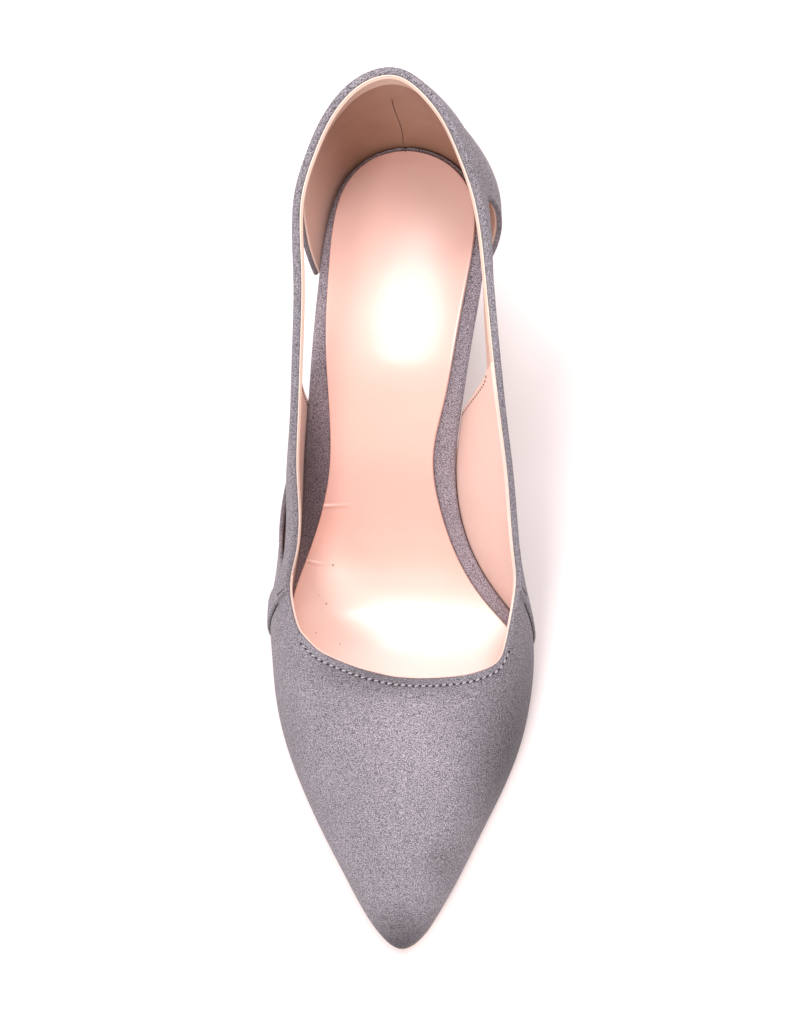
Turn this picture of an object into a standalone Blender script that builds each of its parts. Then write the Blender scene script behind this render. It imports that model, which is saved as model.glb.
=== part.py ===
"""Pointed court shoe for the right foot, with an open window and a narrow slot in each side.

Lengths below are millimetres. The plan runs from the toe tip (v near 0) to the heel (v grows), with the
medial (arch) side on +x and the lateral side on -x. The finished shoe stands on z = 0 with its toe at -Y,
and its origin lies under the middle of its outline.
"""

import bmesh
import bpy
import math
import numpy as np

MM = 0.001

# Thicknesses and clearances
WALL = 1.8
BAND_STEP = 1.0
SOLE_THICKNESS = 2.4
BOARD_THICKNESS = 2.6
SOCK_THICKNESS = 0.9
TOP_PIECE_THICKNESS = 4.0
GAP = 0.3
STACK = SOLE_THICKNESS + GAP + BOARD_THICKNESS + GAP + SOCK_THICKNESS

# Depths of the layers below the top of the sock
BOARD_TOP = SOCK_THICKNESS + GAP
BOARD_BOTTOM = BOARD_TOP + BOARD_THICKNESS
SOLE_TOP = BOARD_BOTTOM + GAP
SOLE_BOTTOM = SOLE_TOP + SOLE_THICKNESS
FEATHER = SOLE_TOP - GAP

# Straps, bands and openings of the upper
STRAP_HEIGHT = 8.0
STEP_RUN = 0.5
BAND_FRONT, BAND_REAR = 9.0, 9.5
WINDOW_FRONT = 14.0
WINDOW_CORNER = 0.16
WINDOW_STEPS, CORNER_STEPS = 12, 6
SLOT_FRONT, SLOT_REAR, SLOT_DEPTH = 9.62, 12.1, 6.5
SLOT_ROUNDING, SLOT_STEPS = 0.8, 12
CUT_NEAR, CUT_FAR, CUT_BELOW = 6.0, 60.0, 12.0
BOARD_INSET = WALL + GAP
TOE_EASE, TOE_EASE_END = 1.3, 70.0
WAIST_INSET = BOARD_INSET + 0.6
WAIST_START, WAIST_FULL = 146.0, 164.0
BREAST = 208.0

# Mesh fineness
SHARP_ANGLE = 35.0
SEAT_STEPS = 26
LEVEL_RIM = 0.08
COLUMNS_PER_SECTION = 3
LOWER_ROWS = 9
STRAP_ROWS = 2
ROW_CROWDING = 1.6
CURVE_SAMPLES = 48

# Height of the sock's top above its level at the ball, along the length: toe spring, tread, waist and seat
PROFILE_COLUMNS = ("v", "climb")
PROFILE = (
    (-4.0, 4.8),
    (0.0, 4.0),
    (25.0, 1.1),
    (46.0, 0.0),
    (92.0, 0.0),
    (105.0, 1.8),
    (118.0, 7.2),
    (130.0, 14.6),
    (142.0, 24.4),
    (155.0, 36.0),
    (168.0, 46.0),
    (182.0, 55.0),
    (197.0, 61.4),
    (215.0, 66.0),
    (246.0, 71.0),
)

# One row for each section of the upper, from the toe tip to the back of the heel. foot_ is the feather line
# on the sole, top_ the throat and topline, skew how much further back the medial side lies than the lateral,
# and bare_ the rim of the board that the sock leaves free.
SECTION_COLUMNS = ("foot_v", "foot_lat", "foot_med", "skew", "bare_lat", "bare_med",
                   "top_v", "top_lat", "top_med", "top_z")
SECTIONS = (
    (-1.0, -0.8, 0.8, 0.0, 0.4, 0.4, 87.4, -0.5, 0.5, 30.5),
    (3.1, 6.0, 7.2, 0.0, 0.4, 0.4, 87.4, 1.2, 3.6, 30.5),
    (9.6, 11.3, 11.5, 0.0, 0.4, 0.4, 87.6, 3.6, 7.4, 30.5),
    (19.9, 17.9, 16.8, 0.0, 0.4, 0.4, 88.2, 7.6, 13.0, 30.6),
    (32.5, 25.6, 22.4, 0.0, 0.4, 0.4, 89.3, 13.0, 19.2, 30.8),
    (47.7, 33.7, 29.1, 0.0, 0.4, 0.4, 91.4, 20.0, 25.2, 31.1),
    (62.6, 39.8, 34.6, 0.0, 0.4, 0.4, 94.3, 26.6, 29.2, 31.8),
    (76.8, 43.1, 37.6, 1.0, 0.4, 0.4, 98.6, 31.0, 31.2, 32.9),
    (90.0, 44.1, 38.5, 3.0, 0.4, 0.8, 104.7, 33.9, 32.6, 35.0),
    (99.5, 44.0, 37.0, 4.0, 0.4, 2.4, 114.5, 35.2, 34.2, 39.8),
    (112.0, 42.0, 28.6, 4.0, 0.5, 4.2, 126.0, 32.1, 33.8, 50.0),
    (125.0, 39.3, 20.4, 3.5, 2.8, 4.6, 137.5, 29.8, 32.8, 60.5),
    (139.0, 36.7, 16.2, 2.5, 6.0, 5.2, 149.5, 29.0, 31.8, 71.5),
    (153.0, 34.4, 15.6, 0.5, 8.0, 6.2, 162.0, 27.2, 30.3, 82.5),
    (169.0, 31.5, 17.7, -1.5, 6.4, 4.8, 178.0, 25.0, 28.4, 95.0),
    (186.0, 29.1, 20.6, 0.0, 4.0, 4.0, 197.0, 23.7, 26.0, 104.5),
    (205.0, 26.9, 23.6, 3.0, 2.8, 3.4, 215.5, 22.8, 22.2, 113.8),
    (217.5, 24.9, 23.5, 1.0, 2.0, 2.2, 225.0, 18.8, 18.4, 119.6),
    (229.5, 20.3, 19.7, 0.0, 1.2, 1.2, 232.8, 13.6, 14.4, 124.8),
    (237.2, 12.5, 11.7, 0.0, 1.1, 1.1, 238.8, 7.2, 8.6, 128.0),
    (240.3, 1.0, -1.0, 0.0, 1.1, 1.1, 241.7, -1.0, 1.0, 129.0),
)

# How each section bows between feather line and topline. The low and high pull points lie a share of the way
# in and up, and then outwards by so many millimetres on each side.
BOW_COLUMNS = ("section", "low_in", "low_up", "high_in", "high_up",
               "low_lat", "high_lat", "low_med", "high_med")
BOWS = (
    (0.0, 0.00, 0.41, 0.31, 0.73, 1.8, 0.0, 1.8, 0.0),
    (2.0, 0.00, 0.46, 0.31, 0.77, 2.0, 0.0, 2.0, 0.0),
    (4.0, 0.00, 0.43, 0.33, 0.76, 2.2, 0.0, 2.2, 0.0),
    (7.0, 0.02, 0.38, 0.42, 0.75, 2.8, 1.2, 2.4, 1.0),
    (9.0, 0.15, 0.34, 0.58, 0.70, 5.6, 3.8, 2.6, 2.0),
    (11.0, 0.33, 0.33, 0.67, 0.67, 7.4, 5.4, 0.0, 2.0),
    (13.0, 0.33, 0.33, 0.67, 0.67, 2.6, 1.6, -1.0, 1.0),
    (15.0, 0.33, 0.33, 0.67, 0.67, 2.4, 1.4, 2.0, 1.6),
    (17.0, 0.33, 0.33, 0.67, 0.67, 3.8, 3.2, 7.7, 7.2),
    (18.5, 0.33, 0.33, 0.67, 0.67, 3.8, 3.2, 4.4, 4.0),
    (20.0, 0.33, 0.33, 0.67, 0.67, 3.8, 3.4, 3.8, 3.4),
)

# Section at which a window ends at the counter's edge, by share of the way up to the strap
WINDOW_REAR_COLUMNS = ("up", "lat", "med")
WINDOW_REAR = (
    (0.0, 16.08, 16.30),
    (0.3, 16.20, 16.44),
    (0.55, 16.29, 16.52),
    (0.8, 16.30, 16.42),
    (1.0, 16.18, 16.18),
)

# Heel levels from the seat down to the tip: depth below the seat's front edge, how far the level has left the
# seat's slope for its own height z, and its front, back and half width
HEEL_COLUMNS = ("depth", "flatness", "z", "front", "back", "half_width")
HEEL_LEVELS = (
    (0.0, 0.00, 65.0, 208.0, 240.3, 26.8),
    (8.0, 0.45, 56.5, 208.9, 239.2, 25.0),
    (20.0, 1.00, 46.0, 211.7, 235.2, 17.6),
    (32.0, 1.00, 34.0, 213.7, 232.0, 12.4),
    (46.0, 1.00, 20.0, 215.2, 229.2, 8.4),
    (62.0, 1.00, TOP_PIECE_THICKNESS + GAP, 215.8, 227.7, 6.4),
)
HEEL_STEPS = 16
HEEL_CENTRE_SEAT, HEEL_CENTRE_TIP = -1.8, -1.0

SUEDE = (0.290, 0.255, 0.283)
DARK_SUEDE = (0.250, 0.212, 0.235)
SATIN = (0.820, 0.520, 0.420)
TAN = (0.420, 0.270, 0.180)
BLACK = (0.020, 0.019, 0.020)


def monotone_curve(xs, ys, at):
    """Smooth curve through rows of a table that never overshoots between them."""
    xs = np.asarray(xs, float)
    ys = np.asarray(ys, float)
    step = np.diff(xs)
    slope = np.diff(ys) / step
    grade = np.zeros(len(xs))
    grade[0], grade[-1] = slope[0], slope[-1]
    for k in range(1, len(xs) - 1):
        if slope[k - 1] * slope[k] > 0.0:
            front = 2.0 * step[k] + step[k - 1]
            back = step[k] + 2.0 * step[k - 1]
            grade[k] = (front + back) / (front / slope[k - 1] + back / slope[k])
    at = np.clip(np.asarray(at, float), xs[0], xs[-1])
    k = np.clip(np.searchsorted(xs, at, side="right") - 1, 0, len(step) - 1)
    t = (at - xs[k]) / step[k]
    return ((1 + 2 * t) * (1 - t) ** 2 * ys[k] + t * (1 - t) ** 2 * step[k] * grade[k]
            + t ** 2 * (3 - 2 * t) * ys[k + 1] + t ** 2 * (t - 1) * step[k] * grade[k + 1])


def table_column(names, rows, name):
    return np.array([row[names.index(name)] for row in rows], float)


def layer_height(v, depth):
    """Height of the layer that lies a given depth, square to the sole, below the top of the sock."""
    at = table_column(PROFILE_COLUMNS, PROFILE, "v")
    climb = table_column(PROFILE_COLUMNS, PROFILE, "climb")
    run = 0.5
    grade = (monotone_curve(at, climb, np.asarray(v) + run)
             - monotone_curve(at, climb, np.asarray(v) - run)) / (2 * run)
    flat = np.abs(grade) < 1e-6
    return STACK + monotone_curve(at, climb, v) - depth * np.where(flat, 1.0, np.sqrt(1 + grade ** 2))


class ClosedSpline:
    """Smooth closed curve through rows of values, at given places along the loop."""

    def __init__(self, knots, length, values):
        self.knots = knots
        self.length = length
        self.values = values
        self.step = np.append(np.diff(knots), length - knots[-1] + knots[0])
        n = len(knots)
        matrix = np.zeros((n, n))
        right = np.zeros((n, values.shape[1]))
        for k in range(n):
            before, after = (k - 1) % n, (k + 1) % n
            matrix[k, before] = self.step[before]
            matrix[k, k] = 2.0 * (self.step[before] + self.step[k])
            matrix[k, after] = self.step[k]
            right[k] = 6.0 * ((values[after] - values[k]) / self.step[k]
                              - (values[k] - values[before]) / self.step[before])
        self.bend = np.linalg.solve(matrix, right)

    def at(self, place):
        place = np.mod(np.asarray(place, float) - self.knots[0], self.length) + self.knots[0]
        k = np.clip(np.searchsorted(self.knots, place, side="right") - 1, 0, len(self.knots) - 1)
        after = (k + 1) % len(self.knots)
        h = self.step[k][:, None]
        b = ((place - self.knots[k]) / self.step[k])[:, None]
        a = 1.0 - b
        return (a * self.values[k] + b * self.values[after]
                + ((a ** 3 - a) * self.bend[k] + (b ** 3 - b) * self.bend[after]) * h ** 2 / 6.0)


LAST_SECTION = len(SECTIONS) - 1
LOOP_COLUMNS = ("bx", "bv", "tx", "tv", "tz", "bare", "low_in", "low_up", "high_in", "high_up", "low", "high")


def loop_row(section, side):
    """Values of one section on one side (-1 lateral, +1 medial), in the order of LOOP_COLUMNS."""
    row = dict(zip(SECTION_COLUMNS, SECTIONS[section]))
    key = "med" if side > 0 else "lat"
    bow_at = table_column(BOW_COLUMNS, BOWS, "section")

    def bow(name):
        return float(monotone_curve(bow_at, table_column(BOW_COLUMNS, BOWS, name), section))

    shift = 0.5 * side * row["skew"]
    return (side * row["foot_" + key], row["foot_v"] + shift, side * row["top_" + key], row["top_v"] + shift,
            row["top_z"], row["bare_" + key], bow("low_in"), bow("low_up"), bow("high_in"), bow("high_up"),
            bow("low_" + key), bow("high_" + key))


def make_loop():
    """Closed spline round the shoe: lateral side from toe to heel, then the medial side back to the toe."""
    rows = [loop_row(k, -1) for k in range(LAST_SECTION + 1)]
    rows += [loop_row(k, 1) for k in range(LAST_SECTION - 1, 0, -1)]
    values = np.array(rows)
    plan = values[:, :2]
    spans = np.linalg.norm(np.roll(plan, -1, axis=0) - plan, axis=1)
    knots = np.concatenate(([0.0], np.cumsum(spans)[:-1]))
    return ClosedSpline(knots, float(spans.sum()), values)


LOOP = make_loop()


def place_of(section, side):
    """Place along the loop of a section number, which may lie between two rows."""
    index = section if side < 0 else 2 * LAST_SECTION - section
    knots = np.append(LOOP.knots, LOOP.length)
    return float(np.interp(index, np.arange(len(knots)), knots))


def outward(place, first):
    """Outward direction in plan of the loop's curve whose columns start at first."""
    run = 0.05
    along = LOOP.at(place + run)[:, first:first + 2] - LOOP.at(place - run)[:, first:first + 2]
    along /= np.linalg.norm(along, axis=1)[:, None]
    return np.stack((-along[:, 1], along[:, 0]), axis=1)


def section_curves(place):
    """Dense points of the outer surface, from the feather line up to the topline, one curve for each place."""
    row = {name: column for name, column in zip(LOOP_COLUMNS, LOOP.at(place).T)}
    foot = np.stack((row["bx"], row["bv"]), axis=1)
    top = np.stack((row["tx"], row["tv"]), axis=1)
    side = outward(place, 0)
    foot_z = layer_height(row["bv"], FEATHER)
    climb = row["tz"] - foot_z
    low = foot + (top - foot) * row["low_in"][:, None] + side * row["low"][:, None]
    high = foot + (top - foot) * row["high_in"][:, None] + side * row["high"][:, None]
    pulls = (np.column_stack((foot, foot_z)), np.column_stack((low, foot_z + climb * row["low_up"])),
             np.column_stack((high, foot_z + climb * row["high_up"])), np.column_stack((top, row["tz"])))
    t = np.linspace(0.0, 1.0, CURVE_SAMPLES)
    weights = ((1 - t) ** 3, 3 * t * (1 - t) ** 2, 3 * t ** 2 * (1 - t), t ** 3)
    return sum(w[None, :, None] * p[:, None, :] for w, p in zip(weights, pulls))


def along_curves(curves, distances):
    """Points at given distances (one row for each curve) along dense curves."""
    spans = np.linalg.norm(np.diff(curves, axis=1), axis=2)
    reach = np.concatenate((np.zeros((len(curves), 1)), np.cumsum(spans, axis=1)), axis=1)
    return np.array([[np.interp(d, r, c[:, axis]) for axis in range(3)]
                     for c, r, d in zip(curves, reach, distances)]).transpose(0, 2, 1)


def curve_lengths(curves):
    return np.linalg.norm(np.diff(curves, axis=1), axis=2).sum(axis=1)


def surface(place, share):
    """Points of the outer surface at shares (one row for each place) of the way up its sections."""
    curves = section_curves(place)
    return along_curves(curves, share * curve_lengths(curves)[:, None])


def surface_normals(place, share):
    """Outward normals of the outer surface. At the feather line they lie level."""
    run, rise = 0.2, 0.004
    along = surface(place + run, share) - surface(place - run, share)
    up = surface(place, np.minimum(share + rise, 1.0)) - surface(place, np.maximum(share - rise, 0.0))
    normal = np.cross(up, along)
    level = np.clip(1.0 - share / LEVEL_RIM, 0.0, 1.0)
    normal /= np.linalg.norm(normal, axis=2)[:, :, None]
    normal[:, :, 2] *= 1.0 - level
    return normal / np.linalg.norm(normal, axis=2)[:, :, None]


def strap_share(place):
    """Share of the way up each section at which the strap's lower edge lies."""
    return 1.0 - STRAP_HEIGHT / curve_lengths(section_curves(place))


def upper_columns():
    """Places of the mesh columns round the loop, and the height of the band that each one carries."""
    knots = np.append(LOOP.knots, LOOP.length)
    places = [a + (b - a) * k / COLUMNS_PER_SECTION
              for a, b in zip(knots[:-1], knots[1:]) for k in range(COLUMNS_PER_SECTION)]
    edges = []
    for side in (-1, 1):
        for section, inside in ((BAND_FRONT, 1), (BAND_REAR, -1)):
            edge = place_of(section, side)
            edges.append((edge, edge - side * inside * STEP_RUN))
    clear = [p for p in places if all(abs(p - q) > 1.2 * STEP_RUN for pair in edges for q in pair)]
    return np.array(sorted(clear + [q for pair in edges for q in pair]))


def band_mask(places):
    """For each column: whether it lies behind the vamp, and whether it lies on a diagonal band."""
    slack = 1e-6
    behind = np.zeros(len(places), bool)
    on_band = np.zeros(len(places), bool)
    fronts = [place_of(BAND_FRONT, side) - side * STEP_RUN for side in (-1, 1)]
    rears = [place_of(BAND_REAR, side) + side * STEP_RUN for side in (-1, 1)]
    behind |= (places >= fronts[0] - slack) & (places <= fronts[1] + slack)
    on_band |= (places >= fronts[0] - slack) & (places <= rears[0] + slack)
    on_band |= (places >= rears[1] - slack) & (places <= fronts[1] + slack)
    return behind, on_band


def mesh_object(name, points, faces, material, parent):
    """Object from points in millimetres, with its faces turned outwards."""
    mesh = bpy.data.meshes.new(name)
    build = bmesh.new()
    verts = [build.verts.new([c * MM for c in p]) for p in points]
    for face in faces:
        build.faces.new([verts[k] for k in face])
    bmesh.ops.recalc_face_normals(build, faces=build.faces)
    build.to_mesh(mesh)
    build.free()
    mesh.shade_smooth()
    mesh.set_sharp_from_angle(angle=math.radians(SHARP_ANGLE))
    thing = bpy.data.objects.new(name, mesh)
    bpy.context.scene.collection.objects.link(thing)
    thing.parent = parent
    if material:
        mesh.materials.append(material)
    return thing


def make_material(name, colour, roughness):
    material = bpy.data.materials.new(name)
    material.use_nodes = True
    shader = material.node_tree.nodes["Principled BSDF"]
    shader.inputs["Base Color"].default_value = (*colour, 1.0)
    shader.inputs["Roughness"].default_value = roughness
    shader.inputs["Metallic"].default_value = 0.0
    return material


def upper_shell(material, parent):
    """Closed shell of the upper before its windows are cut: outer face with raised bands, inner face, rims."""
    places = upper_columns()
    edge = strap_share(places)
    lengths = curve_lengths(section_curves(places))
    half_step = 0.5 * STEP_RUN / lengths
    low = np.linspace(0.0, 1.0, LOWER_ROWS) ** ROW_CROWDING
    high = np.linspace(0.0, 1.0, STRAP_ROWS + 1)
    share = np.column_stack([(edge - half_step) * r for r in low]
                            + [edge + half_step + (1.0 - edge - half_step) * r for r in high])
    on_strap = np.array([False] * LOWER_ROWS + [True] * (STRAP_ROWS + 1))
    behind, on_band = band_mask(places)
    raised = (behind[:, None] & on_strap[None, :]) | on_band[:, None]
    skin = surface(places, share)
    normal = surface_normals(places, share)
    outer = skin + normal * (BAND_STEP * raised)[:, :, None]
    inner = skin - normal * WALL
    for face in (outer, inner):
        face[:, 0, 2] = layer_height(face[:, 0, 1], FEATHER)
    columns, rows = share.shape
    points = np.concatenate((outer.reshape(-1, 3), inner.reshape(-1, 3)))
    inside = columns * rows
    faces = []
    for i in range(columns):
        j = (i + 1) % columns
        for k in range(rows - 1):
            a, b, c, d = i * rows + k, j * rows + k, j * rows + k + 1, i * rows + k + 1
            faces.append((a, d, c, b))
            faces.append((inside + a, inside + b, inside + c, inside + d))
        faces.append((i * rows, j * rows, inside + j * rows, inside + i * rows))
        top = rows - 1
        faces.append((j * rows + top, i * rows + top, inside + i * rows + top, inside + j * rows + top))
    return mesh_object("upper", points, faces, material, parent)


def window_outline(side):
    """Side view of a window: up the wing's edge, back under the strap and down the counter's edge."""
    turn = np.linspace(0.0, 0.5 * math.pi, CORNER_STEPS + 1)[1:]
    half = 0.5 * WINDOW_CORNER
    rise = np.linspace(0.0, 1.0 - WINDOW_CORNER, WINDOW_STEPS)
    rim = [(0.0, up) for up in rise]
    rim += [(half * (1 - math.cos(a)), 1.0 - WINDOW_CORNER * (1 - math.sin(a))) for a in turn]
    rim += [(back, 1.0) for back in np.linspace(half, 1.0 - half, WINDOW_STEPS)[1:]]
    rim += [(1.0 - half * (1 - math.sin(a)), 1.0 - WINDOW_CORNER * (1 - math.cos(a))) for a in turn]
    rim += [(1.0, up) for up in rise[-2::-1]]
    rear_up = table_column(WINDOW_REAR_COLUMNS, WINDOW_REAR, "up")
    rear_at = table_column(WINDOW_REAR_COLUMNS, WINDOW_REAR, "med" if side > 0 else "lat")
    outline = []
    for back, up in rim:
        rear = float(monotone_curve(rear_up, rear_at, up))
        place = np.array([place_of(WINDOW_FRONT + (rear - WINDOW_FRONT) * back, side)])
        point = surface(place, up * strap_share(place)[:, None])[0, 0]
        outline.append((point[1], point[2]))
    first, last = outline[0], outline[-1]
    return [(first[0], first[1] - CUT_BELOW)] + outline + [(last[0], last[1] - CUT_BELOW)]


def slot_outline(side):
    """Side view of a slot: an eye under the strap, from the diagonal band to the middle of the wing."""
    upper_edge, lower_edge = [], []
    for back in np.linspace(0.0, 1.0, SLOT_STEPS):
        place = np.array([place_of(SLOT_FRONT + (SLOT_REAR - SLOT_FRONT) * back, side)])
        length = curve_lengths(section_curves(place))[0]
        top = strap_share(place)[0]
        depth = SLOT_DEPTH * math.sin(math.pi * back) ** SLOT_ROUNDING / length
        high, low = surface(np.repeat(place, 2), np.array([[top], [top - depth]]))[:, 0, :]
        upper_edge.append((high[1], high[2]))
        lower_edge.append((low[1], low[2]))
    return upper_edge + lower_edge[-2:0:-1]


def cut_through(shell, name, outline, side, parent):
    """Cuts a side view outline through one side of the shell."""
    count = len(outline)
    points = [(side * x, v, z) for x in (CUT_NEAR, CUT_FAR) for v, z in outline]
    faces = [tuple(range(count)), tuple(range(2 * count - 1, count - 1, -1))]
    faces += [(k, (k + 1) % count, count + (k + 1) % count, count + k) for k in range(count)]
    cutter = mesh_object(name, points, faces, None, parent)
    cutter.hide_render = True
    cutter.display_type = "WIRE"
    cut = shell.modifiers.new(name, "BOOLEAN")
    cut.operation = "DIFFERENCE"
    cut.solver = "EXACT"
    cut.object = cutter


def outline_sides(inset, bare_rim=False):
    """Lateral and medial edge points from toe to heel, moved in by inset(v), and by the bare rim if asked."""
    sections = np.linspace(0.0, LAST_SECTION, LAST_SECTION * COLUMNS_PER_SECTION + 1)
    edges = []
    for side in (-1, 1):
        place = np.array([place_of(s, side) for s in sections])
        row = LOOP.at(place)
        inwards = inset(row[:, 1])
        if bare_rim:
            inwards = inwards + row[:, LOOP_COLUMNS.index("bare")]
        edges.append(row[:, :2] - outward(place, 0) * inwards[:, None])
    return edges


def layer_solid(name, edges, top_depth, bottom_depth, material, parent):
    """Sheet between two depths below the top of the sock, inside a pair of edges that meet at their ends."""
    lateral, medial = edges
    closed_end = np.linalg.norm(lateral[-1] - medial[-1]) < 0.01
    count = len(lateral)
    ring = list(lateral) + list(medial[::-1])[1 if closed_end else 0:-1]
    total = len(ring)
    levels = []
    for depth in (top_depth, bottom_depth):
        levels += [(p[0], p[1], float(layer_height(p[1], depth))) for p in ring]

    def medial_index(k):
        return 0 if k == 0 else (total - k) % total

    faces = []
    for base in (0, total):
        for k in range(count - 1):
            quad = (k, k + 1, medial_index(k + 1), medial_index(k))
            faces.append(tuple(base + q for q in dict.fromkeys(quad)))
    faces += [(k, (k + 1) % total, total + (k + 1) % total, total + k) for k in range(total)]
    return mesh_object(name, levels, faces, material, parent)


def waist_inset(v):
    """The outsole is drawn in under the board where the sides are open."""
    share = np.clip((v - WAIST_START) / (WAIST_FULL - WAIST_START), 0.0, 1.0)
    return WAIST_INSET * share * share * (3 - 2 * share)


def make_sole(material, parent):
    """Thin outsole from the toe to the heel breast."""
    end = BREAST - GAP
    clear = 1.0
    edges = outline_sides(waist_inset)
    count = min(int((edge[:, 1] < end - clear).sum()) for edge in edges)
    edges = [np.vstack((edge[:count], (np.interp(end, edge[:, 1], edge[:, 0]), end))) for edge in edges]
    return layer_solid("outsole", edges, SOLE_TOP, SOLE_BOTTOM, material, parent)


def board_inset(v):
    """The board stays clear of the upper's inner face, and further in where the toe's roof comes down."""
    return BOARD_INSET + TOE_EASE * np.clip(1.0 - v / TOE_EASE_END, 0.0, 1.0)


def make_board(material, parent):
    return layer_solid("insole_board", outline_sides(board_inset), BOARD_TOP, BOARD_BOTTOM, material, parent)


def make_sock(material, parent):
    edges = outline_sides(board_inset, bare_rim=True)
    return layer_solid("sock", edges, 0.0, SOCK_THICKNESS, material, parent)


def seat_outline():
    """Seat edge behind the heel breast, from the lateral front corner round the back to the medial one."""
    behind = 15.0
    edge = LOOP.at(np.linspace(place_of(behind, -1), place_of(behind, 1), 8 * SEAT_STEPS + 1))[:, :2]
    turn = int(edge[:, 1].argmax())
    start = float(np.interp(BREAST, edge[:turn, 1], np.arange(turn)))
    stop = float(np.interp(-BREAST, -edge[turn:, 1], np.arange(turn, len(edge))))
    at = np.linspace(start, stop, SEAT_STEPS)
    index = np.arange(len(edge))
    return np.column_stack((np.interp(at, index, edge[:, 0]), np.interp(at, index, edge[:, 1])))


def heel_outline(seat, level):
    """Plan outline of one heel level: the seat's outline drawn smaller, and moved to the level's middle."""
    first = dict(zip(HEEL_COLUMNS, HEEL_LEVELS[0]))
    drawn = level["half_width"] / first["half_width"]
    centre = HEEL_CENTRE_SEAT + (HEEL_CENTRE_TIP - HEEL_CENTRE_SEAT) * (1 - drawn)
    length = (level["back"] - level["front"]) / (first["back"] - first["front"])
    return np.column_stack((centre + (seat[:, 0] - HEEL_CENTRE_SEAT) * drawn,
                            level["front"] + (seat[:, 1] - BREAST) * length))


def stacked_rings(name, rings, material, parent):
    """Closed solid through rings with the same number of points, each closed across its front."""
    count = len(rings[0])
    faces = []
    for base in (0, (len(rings) - 1) * count):
        rungs = [dict.fromkeys((base + k, base + k + 1, base + count - 2 - k, base + count - 1 - k))
                 for k in range(count // 2)]
        faces += [tuple(rung) for rung in rungs if len(rung) > 2]
    for k in range(len(rings) - 1):
        for i in range(count):
            j = (i + 1) % count
            faces.append((k * count + i, k * count + j, (k + 1) * count + j, (k + 1) * count + i))
    return mesh_object(name, np.vstack(rings), faces, material, parent)


def make_heel(material, parent):
    """Heel lofted from the sloping seat down to its level tip."""
    seat = seat_outline()
    seat_z = layer_height(seat[:, 1], SOLE_TOP)
    depths = table_column(HEEL_COLUMNS, HEEL_LEVELS, "depth")
    fine = np.linspace(depths[0], depths[-1], HEEL_STEPS)
    smooth = [monotone_curve(depths, table_column(HEEL_COLUMNS, HEEL_LEVELS, name), fine)
              for name in HEEL_COLUMNS]
    rings = []
    for row in zip(*smooth):
        level = dict(zip(HEEL_COLUMNS, row))
        z = seat_z + (level["z"] - seat_z) * level["flatness"]
        rings.append(np.column_stack((heel_outline(seat, level), z)))
    return stacked_rings("heel", rings, material, parent)


def make_top_piece(material, parent):
    """Rubber tip under the heel, with the outline of the heel's lowest level."""
    outline = heel_outline(seat_outline(), dict(zip(HEEL_COLUMNS, HEEL_LEVELS[-1])))
    rings = [np.column_stack((outline, np.full(len(outline), z))) for z in (0.0, TOP_PIECE_THICKNESS)]
    return stacked_rings("top_piece", rings, material, parent)


def main():
    for thing in list(bpy.data.objects):
        bpy.data.objects.remove(thing, do_unlink=True)
    shoe = bpy.data.objects.new("shoe", None)
    bpy.context.scene.collection.objects.link(shoe)

    suede = make_material("suede", SUEDE, 0.95)
    dark_suede = make_material("dark_suede", DARK_SUEDE, 0.95)
    satin = make_material("satin", SATIN, 0.35)
    tan = make_material("tan_sole", TAN, 0.55)
    black = make_material("black_rubber", BLACK, 0.7)

    upper = upper_shell(suede, shoe)
    for side, name in ((-1, "lateral"), (1, "medial")):
        cut_through(upper, name + "_window", window_outline(side), side, shoe)
        cut_through(upper, name + "_slot", slot_outline(side), side, shoe)
    make_board(dark_suede, shoe)
    make_sock(satin, shoe)
    make_sole(tan, shoe)
    make_heel(suede, shoe)
    make_top_piece(black, shoe)

    spread = np.array([vert.co for vert in upper.data.vertices])
    middle = 0.5 * (spread.min(axis=0) + spread.max(axis=0))
    shoe.location = (-middle[0], -middle[1], 0.0)


main()
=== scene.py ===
"""Looks of a right pump shoe: suede upper with straps, windows and slots, satin sock and covered heel.

Lengths are millimetres in the shoe's own plan: x grows towards the arch, v from the toe tip to the heel,
and z up. Places run round the feather line, from the toe tip along the lateral side to the heel and back
on the medial side. A share is the part of the way up a section, from the feather line to the topline.
"""

import math

import bmesh
import bpy
import numpy as np
from mathutils import Matrix, Vector


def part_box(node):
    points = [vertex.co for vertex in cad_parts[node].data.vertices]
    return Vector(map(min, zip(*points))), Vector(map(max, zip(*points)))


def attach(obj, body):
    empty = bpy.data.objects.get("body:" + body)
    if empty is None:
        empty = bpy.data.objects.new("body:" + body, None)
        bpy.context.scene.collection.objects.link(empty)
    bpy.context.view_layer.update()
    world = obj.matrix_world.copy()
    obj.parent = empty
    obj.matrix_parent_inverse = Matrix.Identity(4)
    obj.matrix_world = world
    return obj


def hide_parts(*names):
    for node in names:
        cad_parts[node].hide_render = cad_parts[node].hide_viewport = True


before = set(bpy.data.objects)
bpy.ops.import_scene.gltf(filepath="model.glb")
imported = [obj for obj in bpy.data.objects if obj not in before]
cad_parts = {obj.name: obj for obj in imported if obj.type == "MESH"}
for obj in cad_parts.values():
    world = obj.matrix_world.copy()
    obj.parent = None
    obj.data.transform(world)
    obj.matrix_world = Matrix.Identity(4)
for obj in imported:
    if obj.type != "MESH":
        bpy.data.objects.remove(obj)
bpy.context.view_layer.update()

MM = 0.001
SIDES = ((-1, "lateral"), (1, "medial"))

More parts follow.
